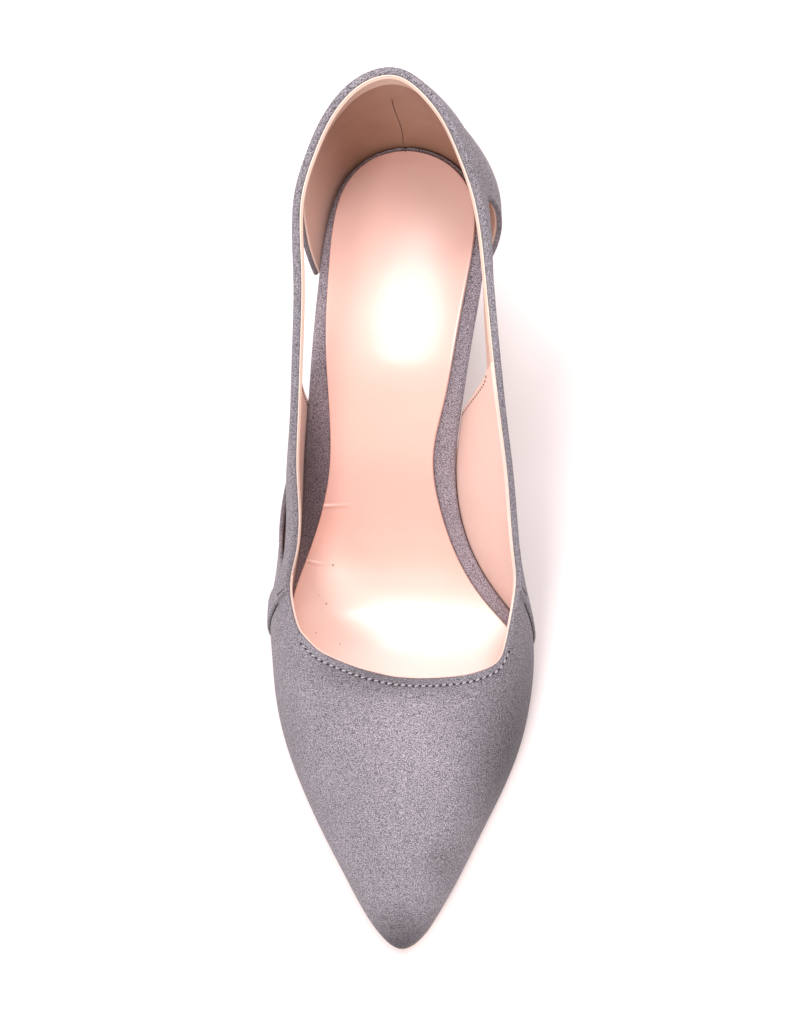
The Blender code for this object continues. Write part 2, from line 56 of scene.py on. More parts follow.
# Thicknesses and layers of the part
WALL = 1.8
BAND_STEP = 1.0
SOLE_THICKNESS = 2.4
BOARD_THICKNESS = 2.6
SOCK_THICKNESS = 0.9
TOP_PIECE_THICKNESS = 4.0
GAP = 0.3
STACK = SOLE_THICKNESS + GAP + BOARD_THICKNESS + GAP + SOCK_THICKNESS
BOARD_TOP = SOCK_THICKNESS + GAP
BOARD_BOTTOM = BOARD_TOP + BOARD_THICKNESS
SOLE_TOP = BOARD_BOTTOM + GAP
SOLE_BOTTOM = SOLE_TOP + SOLE_THICKNESS
FEATHER = SOLE_TOP - GAP

# Where panels of the upper and the seat begin or end, in sections of the table below
BAND_FRONT, BAND_REAR = 9.0, 9.5
VAMP_END, FOLD_END = BAND_FRONT + 0.25, BAND_FRONT + 0.1
UNDER_BAND, STRAP_LINING_END = BAND_REAR - 0.15, BAND_FRONT + 0.2
# Dark lines at the band's edges: seams drawn unbroken as painted shadow lines
BAND_SEAM_SHADOWS = (("front", BAND_FRONT - 0.03), ("rear", BAND_REAR + 0.03))
WINDOW_FRONT = 14.0
SLOT_FRONT, SLOT_REAR = 9.62, 12.1
EDGE_END, STITCH_END = 6.4, 7.0
SEAT_START = 15.0

# Heights and widths of the panels
STRAP_HEIGHT = 8.0
SLOT_DEPTH, SLOT_FLARE, FLARE_REACH = 6.5, 1.5, 9.0
BAND_LEAN = 4.0
BAND_TUCK, TUCK = 2.0, 1.2
FOLD_WIDTH, EDGE_WIDTH = 2.6, 0.7
STRAP_LINING_INSET = 0.3
BINDING_HALF_WIDTH, BINDING_SWELL = 0.75, 0.2

# Share of a window that its corners take, and powers that shape the slots and the bands
WINDOW_CORNER, SLOT_POWER, LEAN_POWER = 0.16, 0.8, 1.5

# Edges of the board and the sole, in plan
BOARD_INSET, BOARD_SNUG = WALL + GAP, 0.25
TOE_EASE, TOE_EASE_END = 1.3, 70.0
TOE_LIP, TOE_LIP_END = 0.8, 16.0
WAIST_INSET = BOARD_INSET + 0.6
WAIST_START, WAIST_FULL = 146.0, 164.0
BREAST = 208.0

# Faces of the leather layers, as heights over the surface of the upper
SUEDE_BACK = -1.0
LINING_FACE, LINING_BACK = -1.8, -1.1
STRAP_LINING_FACE = LINING_FACE - 0.06
EDGE_FACE, EDGE_BACK = SUEDE_BACK - 0.28, SUEDE_BACK + 0.05
BAND_FACE, FOLD_FACE = BAND_STEP - 0.06, 0.32

# Radius of each sheet's rolled edge
ROLL = {"vamp": 0.7, "fold": 0.55, "counter": 0.6, "wing": 0.6, "band": 0.65, "strap": 0.8,
        "lining": 0.3, "lining_edge": 0.16, "sock": 0.4, "board": 1.5, "sole": 0.6}

# Rows of stitches: height over the surface, spacing, share of it that a thread fills, and thread radius
STITCHES = {
    "throat_stitches": dict(height=FOLD_FACE - 0.06, pitch=2.1, fill=0.72, radius=0.28, slant=0.32),
    # Dark pills between the throat's stitches: painted shadow in the needle holes
    "throat_hole_shadows": dict(height=FOLD_FACE - 0.08, pitch=2.1, fill=0.5, radius=0.36, start=0.0),
    "wing_stitches": dict(height=0.02, pitch=2.2, fill=0.68, radius=0.2),
    "wing_inner_stitches": dict(height=LINING_FACE - 0.02, pitch=2.5, fill=0.56, radius=0.2),
    # Unbroken dark rows at the band's edges: seams drawn as painted shadow lines
    "band_seam_shadow": dict(height=0.08, pitch=1.6, fill=1.04, radius=0.24),
    "bar_tack": dict(height=BAND_STEP + 0.02, pitch=1.3, fill=0.68, radius=0.2),
    # Unbroken dark row under the strap round the counter: a seam drawn as the painted shadow of the strap's
    # edge
    "counter_seam_shadow": dict(height=0.05, pitch=1.6, fill=1.04, radius=0.18),
    "back_seam": dict(height=LINING_FACE - 0.02, pitch=1.5, fill=0.95, radius=0.13),
}

# Distances of stitch rows from the edges that they follow
THROAT_ROW, COUNTER_ROW = FOLD_WIDTH - 0.35, STRAP_HEIGHT + 0.15
WING_ROW, TACK_ROW = 1.7, 1.3

# Fineness of the meshes, and how sheets thin out towards their edges
CURVE_SAMPLES = 48
LEVEL_RIM = 0.08
CAD_COLUMNS_PER_SECTION = 3
EDGE_STEPS = np.array((0.0, 0.03, 0.12, 0.27, 0.5, 0.75))
PANEL_END, PANEL_EDGE = 0.02, 0.03
VAMP_EDGE, COUNTER_END = 0.012, 0.015
BAND_EDGE, BAND_END = 0.02, 0.1
LAYER_START, CREASED_SECTIONS = 0.02, (10.45, 12.35)
SHEET_SLIVER, LAYER_SLIVER, THREAD_SLIVER = 0.04, 0.03, 0.01
TUBE_TURNS, THREAD_TURNS, THREAD_RINGS = 16, 8, 7
SEAT_STEPS, BREAST_STEPS, HEEL_RINGS, TIP_RINGS = 60, 16, 50, 6
SHARP_CORNER, SOFT_CORNER = math.radians(50), math.radians(45)

# Height of the sock's top above its level at the ball
PROFILE = (
    ("v", "climb"),
    (-4.0, 4.8),
    (0.0, 4.0),
    (25.0, 1.1),
    (46.0, 0.0),
    (92.0, 0.0),
    (105.0, 1.8),
    (118.0, 7.2),
    (130.0, 14.6),
    (142.0, 24.4),
    (155.0, 36.0),
    (168.0, 46.0),
    (182.0, 55.0),
    (197.0, 61.4),
    (215.0, 66.0),
    (246.0, 71.0),
)

# Sections of the upper from the toe tip to the back of the heel, as in the part
SECTIONS = (
    ("foot_v", "foot_lat", "foot_med", "skew", "bare_lat", "bare_med",
     "top_v", "top_lat", "top_med", "top_z"),
    (-1.0, -0.8, 0.8, 0.0, 0.4, 0.4, 87.4, -0.5, 0.5, 30.5),
    (3.1, 6.0, 7.2, 0.0, 0.4, 0.4, 87.4, 1.2, 3.6, 30.5),
    (9.6, 11.3, 11.5, 0.0, 0.4, 0.4, 87.6, 3.6, 7.4, 30.5),
    (19.9, 17.9, 16.8, 0.0, 0.4, 0.4, 88.2, 7.6, 13.0, 30.6),
    (32.5, 25.6, 22.4, 0.0, 0.4, 0.4, 89.3, 13.0, 19.2, 30.8),
    (47.7, 33.7, 29.1, 0.0, 0.4, 0.4, 91.4, 20.0, 25.2, 31.1),
    (62.6, 39.8, 34.6, 0.0, 0.4, 0.4, 94.3, 26.6, 29.2, 31.8),
    (76.8, 43.1, 37.6, 1.0, 0.4, 0.4, 98.6, 31.0, 31.2, 32.9),
    (90.0, 44.1, 38.5, 3.0, 0.4, 0.8, 104.7, 33.9, 32.6, 35.0),
    (99.5, 44.0, 37.0, 4.0, 0.4, 2.4, 114.5, 35.2, 34.2, 39.8),
    (112.0, 42.0, 28.6, 4.0, 0.5, 4.2, 126.0, 32.1, 33.8, 50.0),
    (125.0, 39.3, 20.4, 3.5, 2.8, 4.6, 137.5, 29.8, 32.8, 60.5),
    (139.0, 36.7, 16.2, 2.5, 6.0, 5.2, 149.5, 29.0, 31.8, 71.5),
    (153.0, 34.4, 15.6, 0.5, 8.0, 6.2, 162.0, 27.2, 30.3, 82.5),
    (169.0, 31.5, 17.7, -1.5, 6.4, 4.8, 178.0, 25.0, 28.4, 95.0),
    (186.0, 29.1, 20.6, 0.0, 4.0, 4.0, 197.0, 23.7, 26.0, 104.5),
    (205.0, 26.9, 23.6, 3.0, 2.8, 3.4, 215.5, 22.8, 22.2, 113.8),
    (217.5, 24.9, 23.5, 1.0, 2.0, 2.2, 225.0, 18.8, 18.4, 119.6),
    (229.5, 20.3, 19.7, 0.0, 1.2, 1.2, 232.8, 13.6, 14.4, 124.8),
    (237.2, 12.5, 11.7, 0.0, 1.1, 1.1, 238.8, 7.2, 8.6, 128.0),
    (240.3, 1.0, -1.0, 0.0, 1.1, 1.1, 241.7, -1.0, 1.0, 129.0),
)

# How each section bows between feather line and topline, as in the part
BOWS = (
    ("section", "low_in", "low_up", "high_in", "high_up",
     "low_lat", "high_lat", "low_med", "high_med"),
    (0.0, 0.00, 0.41, 0.31, 0.73, 1.8, 0.0, 1.8, 0.0),
    (2.0, 0.00, 0.46, 0.31, 0.77, 2.0, 0.0, 2.0, 0.0),
    (4.0, 0.00, 0.43, 0.33, 0.76, 2.2, 0.0, 2.2, 0.0),
    (7.0, 0.02, 0.38, 0.42, 0.75, 2.8, 1.2, 2.4, 1.0),
    (9.0, 0.15, 0.34, 0.58, 0.70, 5.6, 3.8, 2.6, 2.0),
    (11.0, 0.33, 0.33, 0.67, 0.67, 7.4, 5.4, 0.0, 2.0),
    (13.0, 0.33, 0.33, 0.67, 0.67, 2.6, 1.6, -1.0, 1.0),
    (15.0, 0.33, 0.33, 0.67, 0.67, 2.4, 1.4, 2.0, 1.6),
    (17.0, 0.33, 0.33, 0.67, 0.67, 3.8, 3.2, 7.7, 7.2),
    (18.5, 0.33, 0.33, 0.67, 0.67, 3.8, 3.2, 4.4, 4.0),
    (20.0, 0.33, 0.33, 0.67, 0.67, 3.8, 3.4, 3.8, 3.4),
)

# Section at which a window ends at the counter's edge, by share of the way up to the strap
WINDOW_REAR = (
    ("up", "lat", "med"),
    (0.0, 16.08, 16.30),
    (0.3, 16.20, 16.44),
    (0.55, 16.29, 16.52),
    (0.8, 16.30, 16.42),
    (1.0, 16.18, 16.18),
)

# Heel levels from the seat down to the tip, as in the part
HEEL_LEVELS = (
    ("depth", "flatness", "z", "front", "back", "half_width"),
    (0.0, 0.00, 65.0, 208.0, 240.3, 26.8),
    (8.0, 0.45, 56.5, 208.9, 239.2, 25.0),
    (20.0, 1.00, 46.0, 211.7, 235.2, 17.6),
    (32.0, 1.00, 34.0, 213.7, 232.0, 12.4),
    (46.0, 1.00, 20.0, 215.2, 229.2, 8.4),
    (62.0, 1.00, TOP_PIECE_THICKNESS + GAP, 215.8, 227.7, 6.4),
)
HEEL_CENTRE_SEAT, HEEL_CENTRE_TIP = -1.8, -1.0

# Creases of the sock, in plan: x and v of two ends, half width and depth
CREASES = (
    (-32.5, 138.3, -19.0, 139.5, 0.75, -0.42),
    (-38.0, 122.0, -29.0, 120.5, 0.70, -0.30),
)

# Depth of the sock's dish, from edge to middle, along the length
DISH = (
    ("v", "depth"),
    (90.0, 0.0),
    (125.0, 0.4),
    (150.0, 1.4),
    (190.0, 2.2),
    (208.0, 2.0),
    (224.0, 0.8),
    (234.0, 0.0),
)
DISH_LEVEL = 0.45

# Small dark specks on the sock, in plan: x, v and radius
SPECKS = (
    (-26.0, 120.5, 0.36),
    (-28.6, 107.8, 0.30),
    (-31.0, 110.4, 0.16),
    (-31.8, 98.2, 0.22),
    (-23.9, 94.9, 0.20),
)

# Painted highlight and shade on the sock, in plan: x, v, radius in x and in v, and colour: paler over the
# forefoot up to the throat, darker at the heel end
SOCK_HIGHLIGHT_AND_SHADE = (
    (0.0, 96.0, 54.0, 34.0, (0.94, 0.73, 0.65)),
    (-30.0, 106.0, 22.0, 28.0, (0.96, 0.76, 0.68)),
    (28.0, 98.0, 26.0, 24.0, (0.96, 0.82, 0.75)),
    (4.0, 88.0, 46.0, 30.0, (0.97, 0.89, 0.84)),
    (-6.0, 244.0, 46.0, 54.0, (0.62, 0.32, 0.26)),
)

# Spots of the upper's suede painted lighter or darker, in plan: x, v, radius in x and in v, and how much
# lighter or darker they are. Most are painted light and shade: lighter in the middle of the vamp, darker
# down the medial side, at the toe tip and along the throat's front.
NAP_AND_PAINTED_SHADE = (
    (4.0, 66.0, 30.0, 30.0, 1.14),
    (38.0, 62.0, 26.0, 60.0, 0.40),
    (1.0, -4.0, 20.0, 28.0, 0.34),
    (14.0, 31.0, 8.0, 12.0, 0.78),
    (-4.0, 88.0, 38.0, 10.0, 0.58),
    (-40.0, 70.0, 14.0, 40.0, 0.92),
)
# Spots of the board's wrap, the same way: painted shade on the lateral side under the wing, painted light
# on the medial side
BOARD_LIGHT_AND_SHADE = (
    (-34.0, 146.0, 15.0, 50.0, 0.48),
    (20.0, 138.0, 18.0, 44.0, 1.22),
)

# Lit ends of the counter's lining at the windows, where its painted shade gives way to a lighter tone, in
# plan: x, v, radius in x and in v
LIT_LINING_ENDS = (
    (29.0, 206.0, 14.0, 22.0),
    (-25.0, 213.0, 16.0, 32.0),
)

# Colours: three tones for the suedes' nap and grain, a darker and a lighter tone for most of the rest
UPPER_GREYS = ((0.212, 0.190, 0.211), (0.228, 0.205, 0.226), (0.246, 0.222, 0.244))
BOARD_GREYS = ((0.232, 0.193, 0.216), (0.257, 0.216, 0.240), (0.282, 0.240, 0.266))
BINDING_GREYS = ((0.140, 0.118, 0.130), (0.175, 0.150, 0.164), (0.210, 0.184, 0.200))
PEPPER = ((0.08, 0.07, 0.08), (0.5, 0.5, 0.5), (0.92, 0.91, 0.93))
SHEEN = (0.93, 0.90, 0.95)
SATIN_PEACH = ((0.84, 0.485, 0.405), (0.88, 0.52, 0.435))
SPECK_SHADE = (0.42, 0.33, 0.30)
PEACH = ((0.90, 0.62, 0.54), (0.93, 0.65, 0.57))
# Peach of the counter's lining painted darker as shade in the heel cup, and a lighter tone for its lit ends
# at the windows
COUNTER_LINING_SHADE = ((0.325, 0.162, 0.106), (0.36, 0.185, 0.124))
LIT_LINING_TONE = (0.74, 0.52, 0.44)
# Peach of the strap's lining painted in shade, for its lateral side and the back
STRAP_LINING_SHADE = ((0.62, 0.42, 0.34), (0.68, 0.48, 0.40))
CREAM = ((0.80, 0.62, 0.53), (0.88, 0.72, 0.63))
DARK_THREAD = ((0.018, 0.015, 0.017), (0.060, 0.050, 0.056))
GREY_THREAD = ((0.26, 0.25, 0.28), (0.44, 0.43, 0.47))
BROWN_THREAD = ((0.06, 0.04, 0.034), (0.16, 0.11, 0.09))
SOLE_TAN = ((0.36, 0.23, 0.15), (0.52, 0.36, 0.25))
TIP_BLACK = ((0.012, 0.011, 0.012), (0.035, 0.033, 0.034))
FLOOR_PALE = ((0.82, 0.745, 0.74), (0.84, 0.765, 0.76))

# Camera of the photograph, in the plan's own axes
CAMERA_AT = (50.5, 128.3, 464.8)
CAMERA_AIM = (-2.2, 139.5, 40.0)
CAMERA_UP = (-0.047, 0.9989, 0.0)
CAMERA_LENS, CAMERA_SENSOR = 50.6, 36.0

# Lamps in metres of the row frame: place, upward direction, width, length, power in watts and colour
LAMPS = {
    "key": ((-0.30, 0.82, 1.05), (0.0, 0.3, 1.0), 0.9, 0.8, 9.5, (1.0, 0.985, 0.985)),
    "overhead": ((0.22, 0.42, 1.1), (0.0, 1.0, 0.0), 0.45, 0.45, 7.5, (1.0, 0.985, 0.985)),
    "front": ((-0.23, -0.50, 0.97), (0.0, 0.89, 0.46), 0.40, 0.75, 6.5, (1.0, 0.985, 0.98)),
}
LAMP_AIM = (0.0, 0.0, 0.04)
ROOM_COLOUR, ROOM_STRENGTH = (1.0, 0.97, 0.98), 0.58
FLOOR_HALF = 2.0


def monotone_curve(xs, ys, at):
    """Smooth curve through rows of a table that never overshoots between them."""
    xs = np.asarray(xs, float)
    ys = np.asarray(ys, float)
    step = np.diff(xs)
    slope = np.diff(ys) / step
    grade = np.zeros(len(xs))
    grade[0], grade[-1] = slope[0], slope[-1]
    for k in range(1, len(xs) - 1):
        if slope[k - 1] * slope[k] > 0.0:
            front = 2.0 * step[k] + step[k - 1]
            back = step[k] + 2.0 * step[k - 1]
            grade[k] = (front + back) / (front / slope[k - 1] + back / slope[k])
    at = np.clip(np.asarray(at, float), xs[0], xs[-1])
    k = np.clip(np.searchsorted(xs, at, side="right") - 1, 0, len(step) - 1)
    t = (at - xs[k]) / step[k]
    return ((1 + 2 * t) * (1 - t) ** 2 * ys[k] + t * (1 - t) ** 2 * step[k] * grade[k]
            + t ** 2 * (3 - 2 * t) * ys[k + 1] + t ** 2 * (t - 1) * step[k] * grade[k + 1])


def table_column(table, name):
    """Values of one column of a table whose first row holds the names."""
    return np.array([row[table[0].index(name)] for row in table[1:]], float)


def table_row(table, index):
    """Values of one row of a table, by name."""
    return dict(zip(table[0], table[1:][index]))


def table_curve(table, name, at):
    """Smooth curve of a table's column over its first column."""
    return monotone_curve(table_column(table, table[0][0]), table_column(table, name), at)


def unit(vectors):
    """Vectors drawn to length 1."""
    return vectors / np.linalg.norm(vectors, axis=-1)[..., None]


def layer_height(v, depth):
    """Height of the layer that lies a given depth, square to the sole, below the top of the sock."""

    def climb(at):
        return table_curve(PROFILE, "climb", at)

    v = np.asarray(v)
    run = 0.5
    grade = (climb(v + run) - climb(v - run)) / (2 * run)
    return STACK + climb(v) - depth * np.sqrt(1 + grade ** 2)


class ClosedSpline:
    """Smooth closed curve through rows of values, at given places along the loop."""

    def __init__(self, knots, length, values):
        self.knots = knots
        self.length = length
        self.values = values
        self.step = np.append(np.diff(knots), length - knots[-1] + knots[0])
        n = len(knots)
        matrix = np.zeros((n, n))
        right = np.zeros((n, values.shape[1]))
        for k in range(n):
            before, after = (k - 1) % n, (k + 1) % n
            matrix[k, before] = self.step[before]
            matrix[k, k] = 2.0 * (self.step[before] + self.step[k])
            matrix[k, after] = self.step[k]
            right[k] = 6.0 * ((values[after] - values[k]) / self.step[k]
                              - (values[k] - values[before]) / self.step[before])
        self.bend = np.linalg.solve(matrix, right)

    def at(self, place):
        place = np.mod(np.asarray(place, float) - self.knots[0], self.length) + self.knots[0]
        k = np.clip(np.searchsorted(self.knots, place, side="right") - 1, 0, len(self.knots) - 1)
        after = (k + 1) % len(self.knots)
        h = self.step[k][:, None]
        b = ((place - self.knots[k]) / self.step[k])[:, None]
        a = 1.0 - b
        return (a * self.values[k] + b * self.values[after]
                + ((a ** 3 - a) * self.bend[k] + (b ** 3 - b) * self.bend[after]) * h ** 2 / 6.0)


LAST_SECTION = len(SECTIONS) - 2
LOOP_COLUMNS = ("bx", "bv", "tx", "tv", "tz", "bare",
                "low_in", "low_up", "high_in", "high_up", "low", "high")


def loop_row(section, side):
    """Values of one section on one side (-1 lateral, +1 medial), in the order of LOOP_COLUMNS."""
    row = table_row(SECTIONS, section)
    key = "med" if side > 0 else "lat"
    shift = 0.5 * side * row["skew"]
    foot = (side * row["foot_" + key], row["foot_v"] + shift)
    top = (side * row["top_" + key], row["top_v"] + shift, row["top_z"])
    names = ("low_in", "low_up", "high_in", "high_up", "low_" + key, "high_" + key)
    bows = [float(table_curve(BOWS, name, section)) for name in names]
    return (*foot, *top, row["bare_" + key], *bows)


def make_loop():
    """Closed spline round the shoe: lateral side from toe to heel, then the medial side back to the toe."""
    rows = [loop_row(k, -1) for k in range(LAST_SECTION + 1)]
    rows += [loop_row(k, 1) for k in range(LAST_SECTION - 1, 0, -1)]
    values = np.array(rows)
    plan = values[:, :2]
    spans = np.linalg.norm(np.roll(plan, -1, axis=0) - plan, axis=1)
    knots = np.concatenate(([0.0], np.cumsum(spans)[:-1]))
    return ClosedSpline(knots, float(spans.sum()), values)


LOOP = make_loop()


def place_of(section, side):
    """Places along the loop of section numbers, which may lie between two rows."""
    section = np.asarray(section, float)
    index = section if side < 0 else 2 * LAST_SECTION - section
    knots = np.append(LOOP.knots, LOOP.length)
    return np.interp(index, np.arange(len(knots)), knots)


def outward(place):
    """Outward direction of the feather line, in plan."""
    run = 0.05
    along = unit(LOOP.at(place + run)[:, :2] - LOOP.at(place - run)[:, :2])
    return np.stack((-along[:, 1], along[:, 0]), axis=1)


def section_pulls(place):
    """Pull points of the section curves, from the feather line up to the topline."""
    row = dict(zip(LOOP_COLUMNS, LOOP.at(place).T))
    foot = np.stack((row["bx"], row["bv"]), axis=1)
    top = np.stack((row["tx"], row["tv"]), axis=1)
    side = outward(place)
    foot_z = layer_height(row["bv"], FEATHER)
    climb = row["tz"] - foot_z

    def between_ends(key):
        plan = foot + (top - foot) * row[key + "_in"][:, None] + side * row[key][:, None]
        return np.column_stack((plan, foot_z + climb * row[key + "_up"]))

    return np.stack((np.column_stack((foot, foot_z)), between_ends("low"), between_ends("high"),
                     np.column_stack((top, row["tz"]))), axis=1)


def bezier(pulls, t):
    """Points of curves at values t, with one row of values for each curve."""
    weights = np.stack(((1 - t) ** 3, 3 * t * (1 - t) ** 2, 3 * t ** 2 * (1 - t), t ** 3), axis=2)
    return np.einsum("nmk,nkc->nmc", weights, pulls)


def curve_reach(pulls):
    """Length along each curve at evenly spaced values of its own variable."""
    t = np.broadcast_to(np.linspace(0.0, 1.0, CURVE_SAMPLES), (len(pulls), CURVE_SAMPLES))
    spans = np.linalg.norm(np.diff(bezier(pulls, t), axis=1), axis=2)
    return np.concatenate((np.zeros((len(pulls), 1)), np.cumsum(spans, axis=1)), axis=1)


def section_length(place):
    """Length of the section curves, from the feather line to the topline."""
    place = np.asarray(place, float)
    return curve_reach(section_pulls(place.ravel()))[:, -1].reshape(place.shape)


def skin(place, share):
    """Points of the upper's surface at places and shares of the same shape."""
    shape = np.shape(share)
    pulls = section_pulls(np.ravel(place))
    reach = curve_reach(pulls)
    goal = np.ravel(share) * reach[:, -1]
    k = np.clip((reach <= goal[:, None]).sum(axis=1) - 1, 0, CURVE_SAMPLES - 2)
    rows = np.arange(len(k))
    part = (goal - reach[rows, k]) / (reach[rows, k + 1] - reach[rows, k])
    t = (k + part) / (CURVE_SAMPLES - 1)
    return bezier(pulls, t[:, None]).reshape(*shape, 3)


def skin_normal(place, share):
    """Outward normals of the upper's surface. At the feather line they lie level."""
    run, rise = 0.2, 0.004
    along = skin(place + run, share) - skin(place - run, share)
    up = skin(place, np.minimum(share + rise, 1.0)) - skin(place, np.maximum(share - rise, 0.0))
    normal = unit(np.cross(up, along))
    normal[..., 2] *= np.clip(share / LEVEL_RIM, 0.0, 1.0)
    return unit(normal)


def outline_sides(inset, sections, bare_rim=False):
    """Lateral and medial edge from toe to heel, moved in by inset(v) and, if asked, by the bare rim."""
    edges = []
    for side in (-1, 1):
        place = place_of(sections, side)
        row = LOOP.at(place)
        inwards = inset(row[:, 1])
        if bare_rim:
            inwards = inwards + row[:, LOOP_COLUMNS.index("bare")]
        edges.append(row[:, :2] - outward(place) * inwards[:, None])
    return edges


def board_inset(v):
    """The board stays clear of the upper's inner face, and further in where the toe's roof comes down."""
    return BOARD_INSET + TOE_EASE * np.clip(1.0 - v / TOE_EASE_END, 0.0, 1.0)


def waist_inset(v):
    """The outsole is drawn in under the board where the sides are open."""
    share = np.clip((v - WAIST_START) / (WAIST_FULL - WAIST_START), 0.0, 1.0)
    return WAIST_INSET * share * share * (3 - 2 * share)


def sole_inset(v):
    """The outsole's edge: drawn in at the waist, and a thin lip that shows round the toe tip."""
    return waist_inset(v) - TOE_LIP * np.clip(1.0 - v / TOE_LIP_END, 0.0, 1.0)


def plan_origin():
    """Where the plan's own zero lies in the row frame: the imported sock's box against the plan's sock."""
    low = np.array(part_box("sock")[0]) / MM
    sections = np.linspace(0.0, LAST_SECTION, LAST_SECTION * CAD_COLUMNS_PER_SECTION + 1)
    edge = np.vstack(outline_sides(board_inset, sections, bare_rim=True))
    return np.array((low[0] - edge[:, 0].min(), low[1] - edge[:, 1].min(), 0.0))


ORIGIN = plan_origin()


def in_frame(points):
    """Plan millimetres to metres in the row frame."""
    return (np.asarray(points, float) + ORIGIN) * MM


def add_object(name, data):
    """New object in the scene."""
    thing = bpy.data.objects.new(name, data)
    bpy.context.scene.collection.objects.link(thing)
    return thing


def add_piece(name, points, faces, material, node):
    """Smooth mesh piece that rides on the shoe, stands for a node and takes the material it is given."""
    mesh = bpy.data.meshes.new(name)
    mesh.from_pydata(in_frame(points).tolist(), [], [tuple(face) for face in faces])
    build = bmesh.new()
    build.from_mesh(mesh)
    bmesh.ops.recalc_face_normals(build, faces=build.faces)
    build.to_mesh(mesh)
    build.free()
    mesh.shade_smooth()
    mesh.set_sharp_from_angle(angle=SHARP_CORNER)
    mesh.materials.append(material)
    piece = add_object(name, mesh)
    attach(piece, "root")
    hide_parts(node)
    return piece


def grid_faces(columns, rows, base=0, flip=False):
    """Quads of a grid whose points run column by column."""
    i, k = np.meshgrid(np.arange(columns - 1), np.arange(rows - 1), indexing="ij")
    a = (base + i * rows + k).ravel()
    quads = np.stack((a, a + rows, a + rows + 1, a + 1), axis=1)
    return quads[:, ::-1] if flip else quads


def grid_rim(columns, rows):
    """Point numbers round the edge of a grid."""
    low = [i * rows for i in range(columns)]
    right = [(columns - 1) * rows + k for k in range(1, rows)]
    high = [i * rows + rows - 1 for i in range(columns - 2, -1, -1)]
    left = [k for k in range(rows - 2, 0, -1)]
    return np.array(low + right + high + left)


def closed_sheet(face, back):
    """Points and quads of a closed sheet between two grids of the same shape."""
    columns, rows = face.shape[:2]
    count = columns * rows
    rim = grid_rim(columns, rows)
    after = np.roll(rim, -1)
    sides = np.stack((rim, count + rim, count + after, after), axis=1)
    quads = np.vstack((grid_faces(columns, rows), grid_faces(columns, rows, count, True), sides))
    return np.vstack((face.reshape(-1, 3), back.reshape(-1, 3))), quads


def edge_distance(points, axis):
    """Distance of every grid point from the nearer end of its row or column."""
    span = np.linalg.norm(np.diff(points, axis=axis), axis=2)
    zero = np.zeros_like(np.take(span, [0], axis=axis))
    reach = np.concatenate((zero, np.cumsum(span, axis=axis)), axis=axis)
    return np.minimum(reach, np.take(reach, [-1], axis=axis) - reach)


def crowded(steps, edge):
    """Values from 0 to 1 that crowd together within a given edge at both ends."""
    near = edge * EDGE_STEPS
    return np.concatenate((near, np.linspace(edge, 1.0 - edge, steps), 1.0 - near[::-1]))


def rolled(near, roll):
    """Swelling of a rolled edge: 0 at the edge, 1 from the roll inwards."""
    inside = np.clip(near / roll, 0.0, 1.0)
    return np.sqrt(1.0 - (1.0 - inside) ** 2)


def leather(name, panel, top, bottom, roll, material, lift=0.0):
    """Sheet over a panel's places and shares, between two heights over the upper, lifted where asked."""
    ground = skin(*panel)
    normal = skin_normal(*panel)
    near = np.minimum(edge_distance(ground, 0), edge_distance(ground, 1))
    swell = rolled(near, ROLL[roll])
    middle = 0.5 * (top + bottom)
    high = middle + SHEET_SLIVER + (top - middle - SHEET_SLIVER) * swell + lift
    low = middle - SHEET_SLIVER - (middle - SHEET_SLIVER - bottom) * swell + lift
    points, faces = closed_sheet(ground + normal * high[..., None], ground + normal * low[..., None])
    add_piece(name, points, faces, material, "upper")


def straight_panel(span, low, high, columns, rows, edge, end=PANEL_END):
    """Places and shares of a panel over a span of places, from its low to its high share at each place."""
    start, stop = span
    across = start + (stop - start) * crowded(columns, end)
    up = crowded(rows, edge)
    low_share, high_share = low(across), high(across)
    share = low_share[:, None] + (high_share - low_share)[:, None] * up[None, :]
    return np.broadcast_to(across[:, None], share.shape).copy(), share


def between(start, stop, columns, end=PANEL_END):
    """Places across a panel whose ends differ from row to row."""
    return start[None, :] + (stop - start)[None, :] * crowded(columns, end)[:, None]


def band_lean(share):
    """How far the bands lean towards the toe, in millimetres, by share of the way up."""
    return BAND_LEAN * np.clip(1.0 - share, 0.0, 1.0) ** LEAN_POWER


def vamp_panel(section, columns, rows):
    """Places and shares of the vamp: round the toe from one leaning band to the other, up to the throat."""
    up = crowded(rows, VAMP_EDGE)
    lean = band_lean(up)
    start, stop = toe_span(section)
    place = between(start + lean, stop - lean, columns)
    return place, np.broadcast_to(up[None, :], place.shape).copy()


def band_panel(side, columns, rows):
    """Places and shares of a diagonal band, from the feather line up under the strap."""
    span = sorted(float(place_of(section, side)) for section in (BAND_FRONT, BAND_REAR))
    high = below_top(STRAP_HEIGHT - BAND_TUCK)
    place, share = straight_panel(span, constant(0.0), high, columns, rows, BAND_EDGE, BAND_END)
    return place + side * band_lean(share), share


def window_ends(side, up):
    """Places where a window begins at the wing and ends at the counter, by share of the way up it."""
    rear = table_curve(WINDOW_REAR, "med" if side > 0 else "lat", up)
    corner = np.clip((up - 1.0 + WINDOW_CORNER) / WINDOW_CORNER, 0.0, 1.0)
    back = 0.5 * WINDOW_CORNER * (1.0 - np.sqrt(1.0 - corner ** 2))
    return (place_of(WINDOW_FRONT + (rear - WINDOW_FRONT) * back, side),
            place_of(WINDOW_FRONT + (rear - WINDOW_FRONT) * (1.0 - back), side))


def slot_dip(section):
    """Depth of the slot below the strap, in millimetres, at sections along the wing."""
    along = np.clip((section - SLOT_FRONT) / (SLOT_REAR - SLOT_FRONT), 0.0, 1.0)
    return SLOT_DEPTH * np.sin(math.pi * along) ** SLOT_POWER


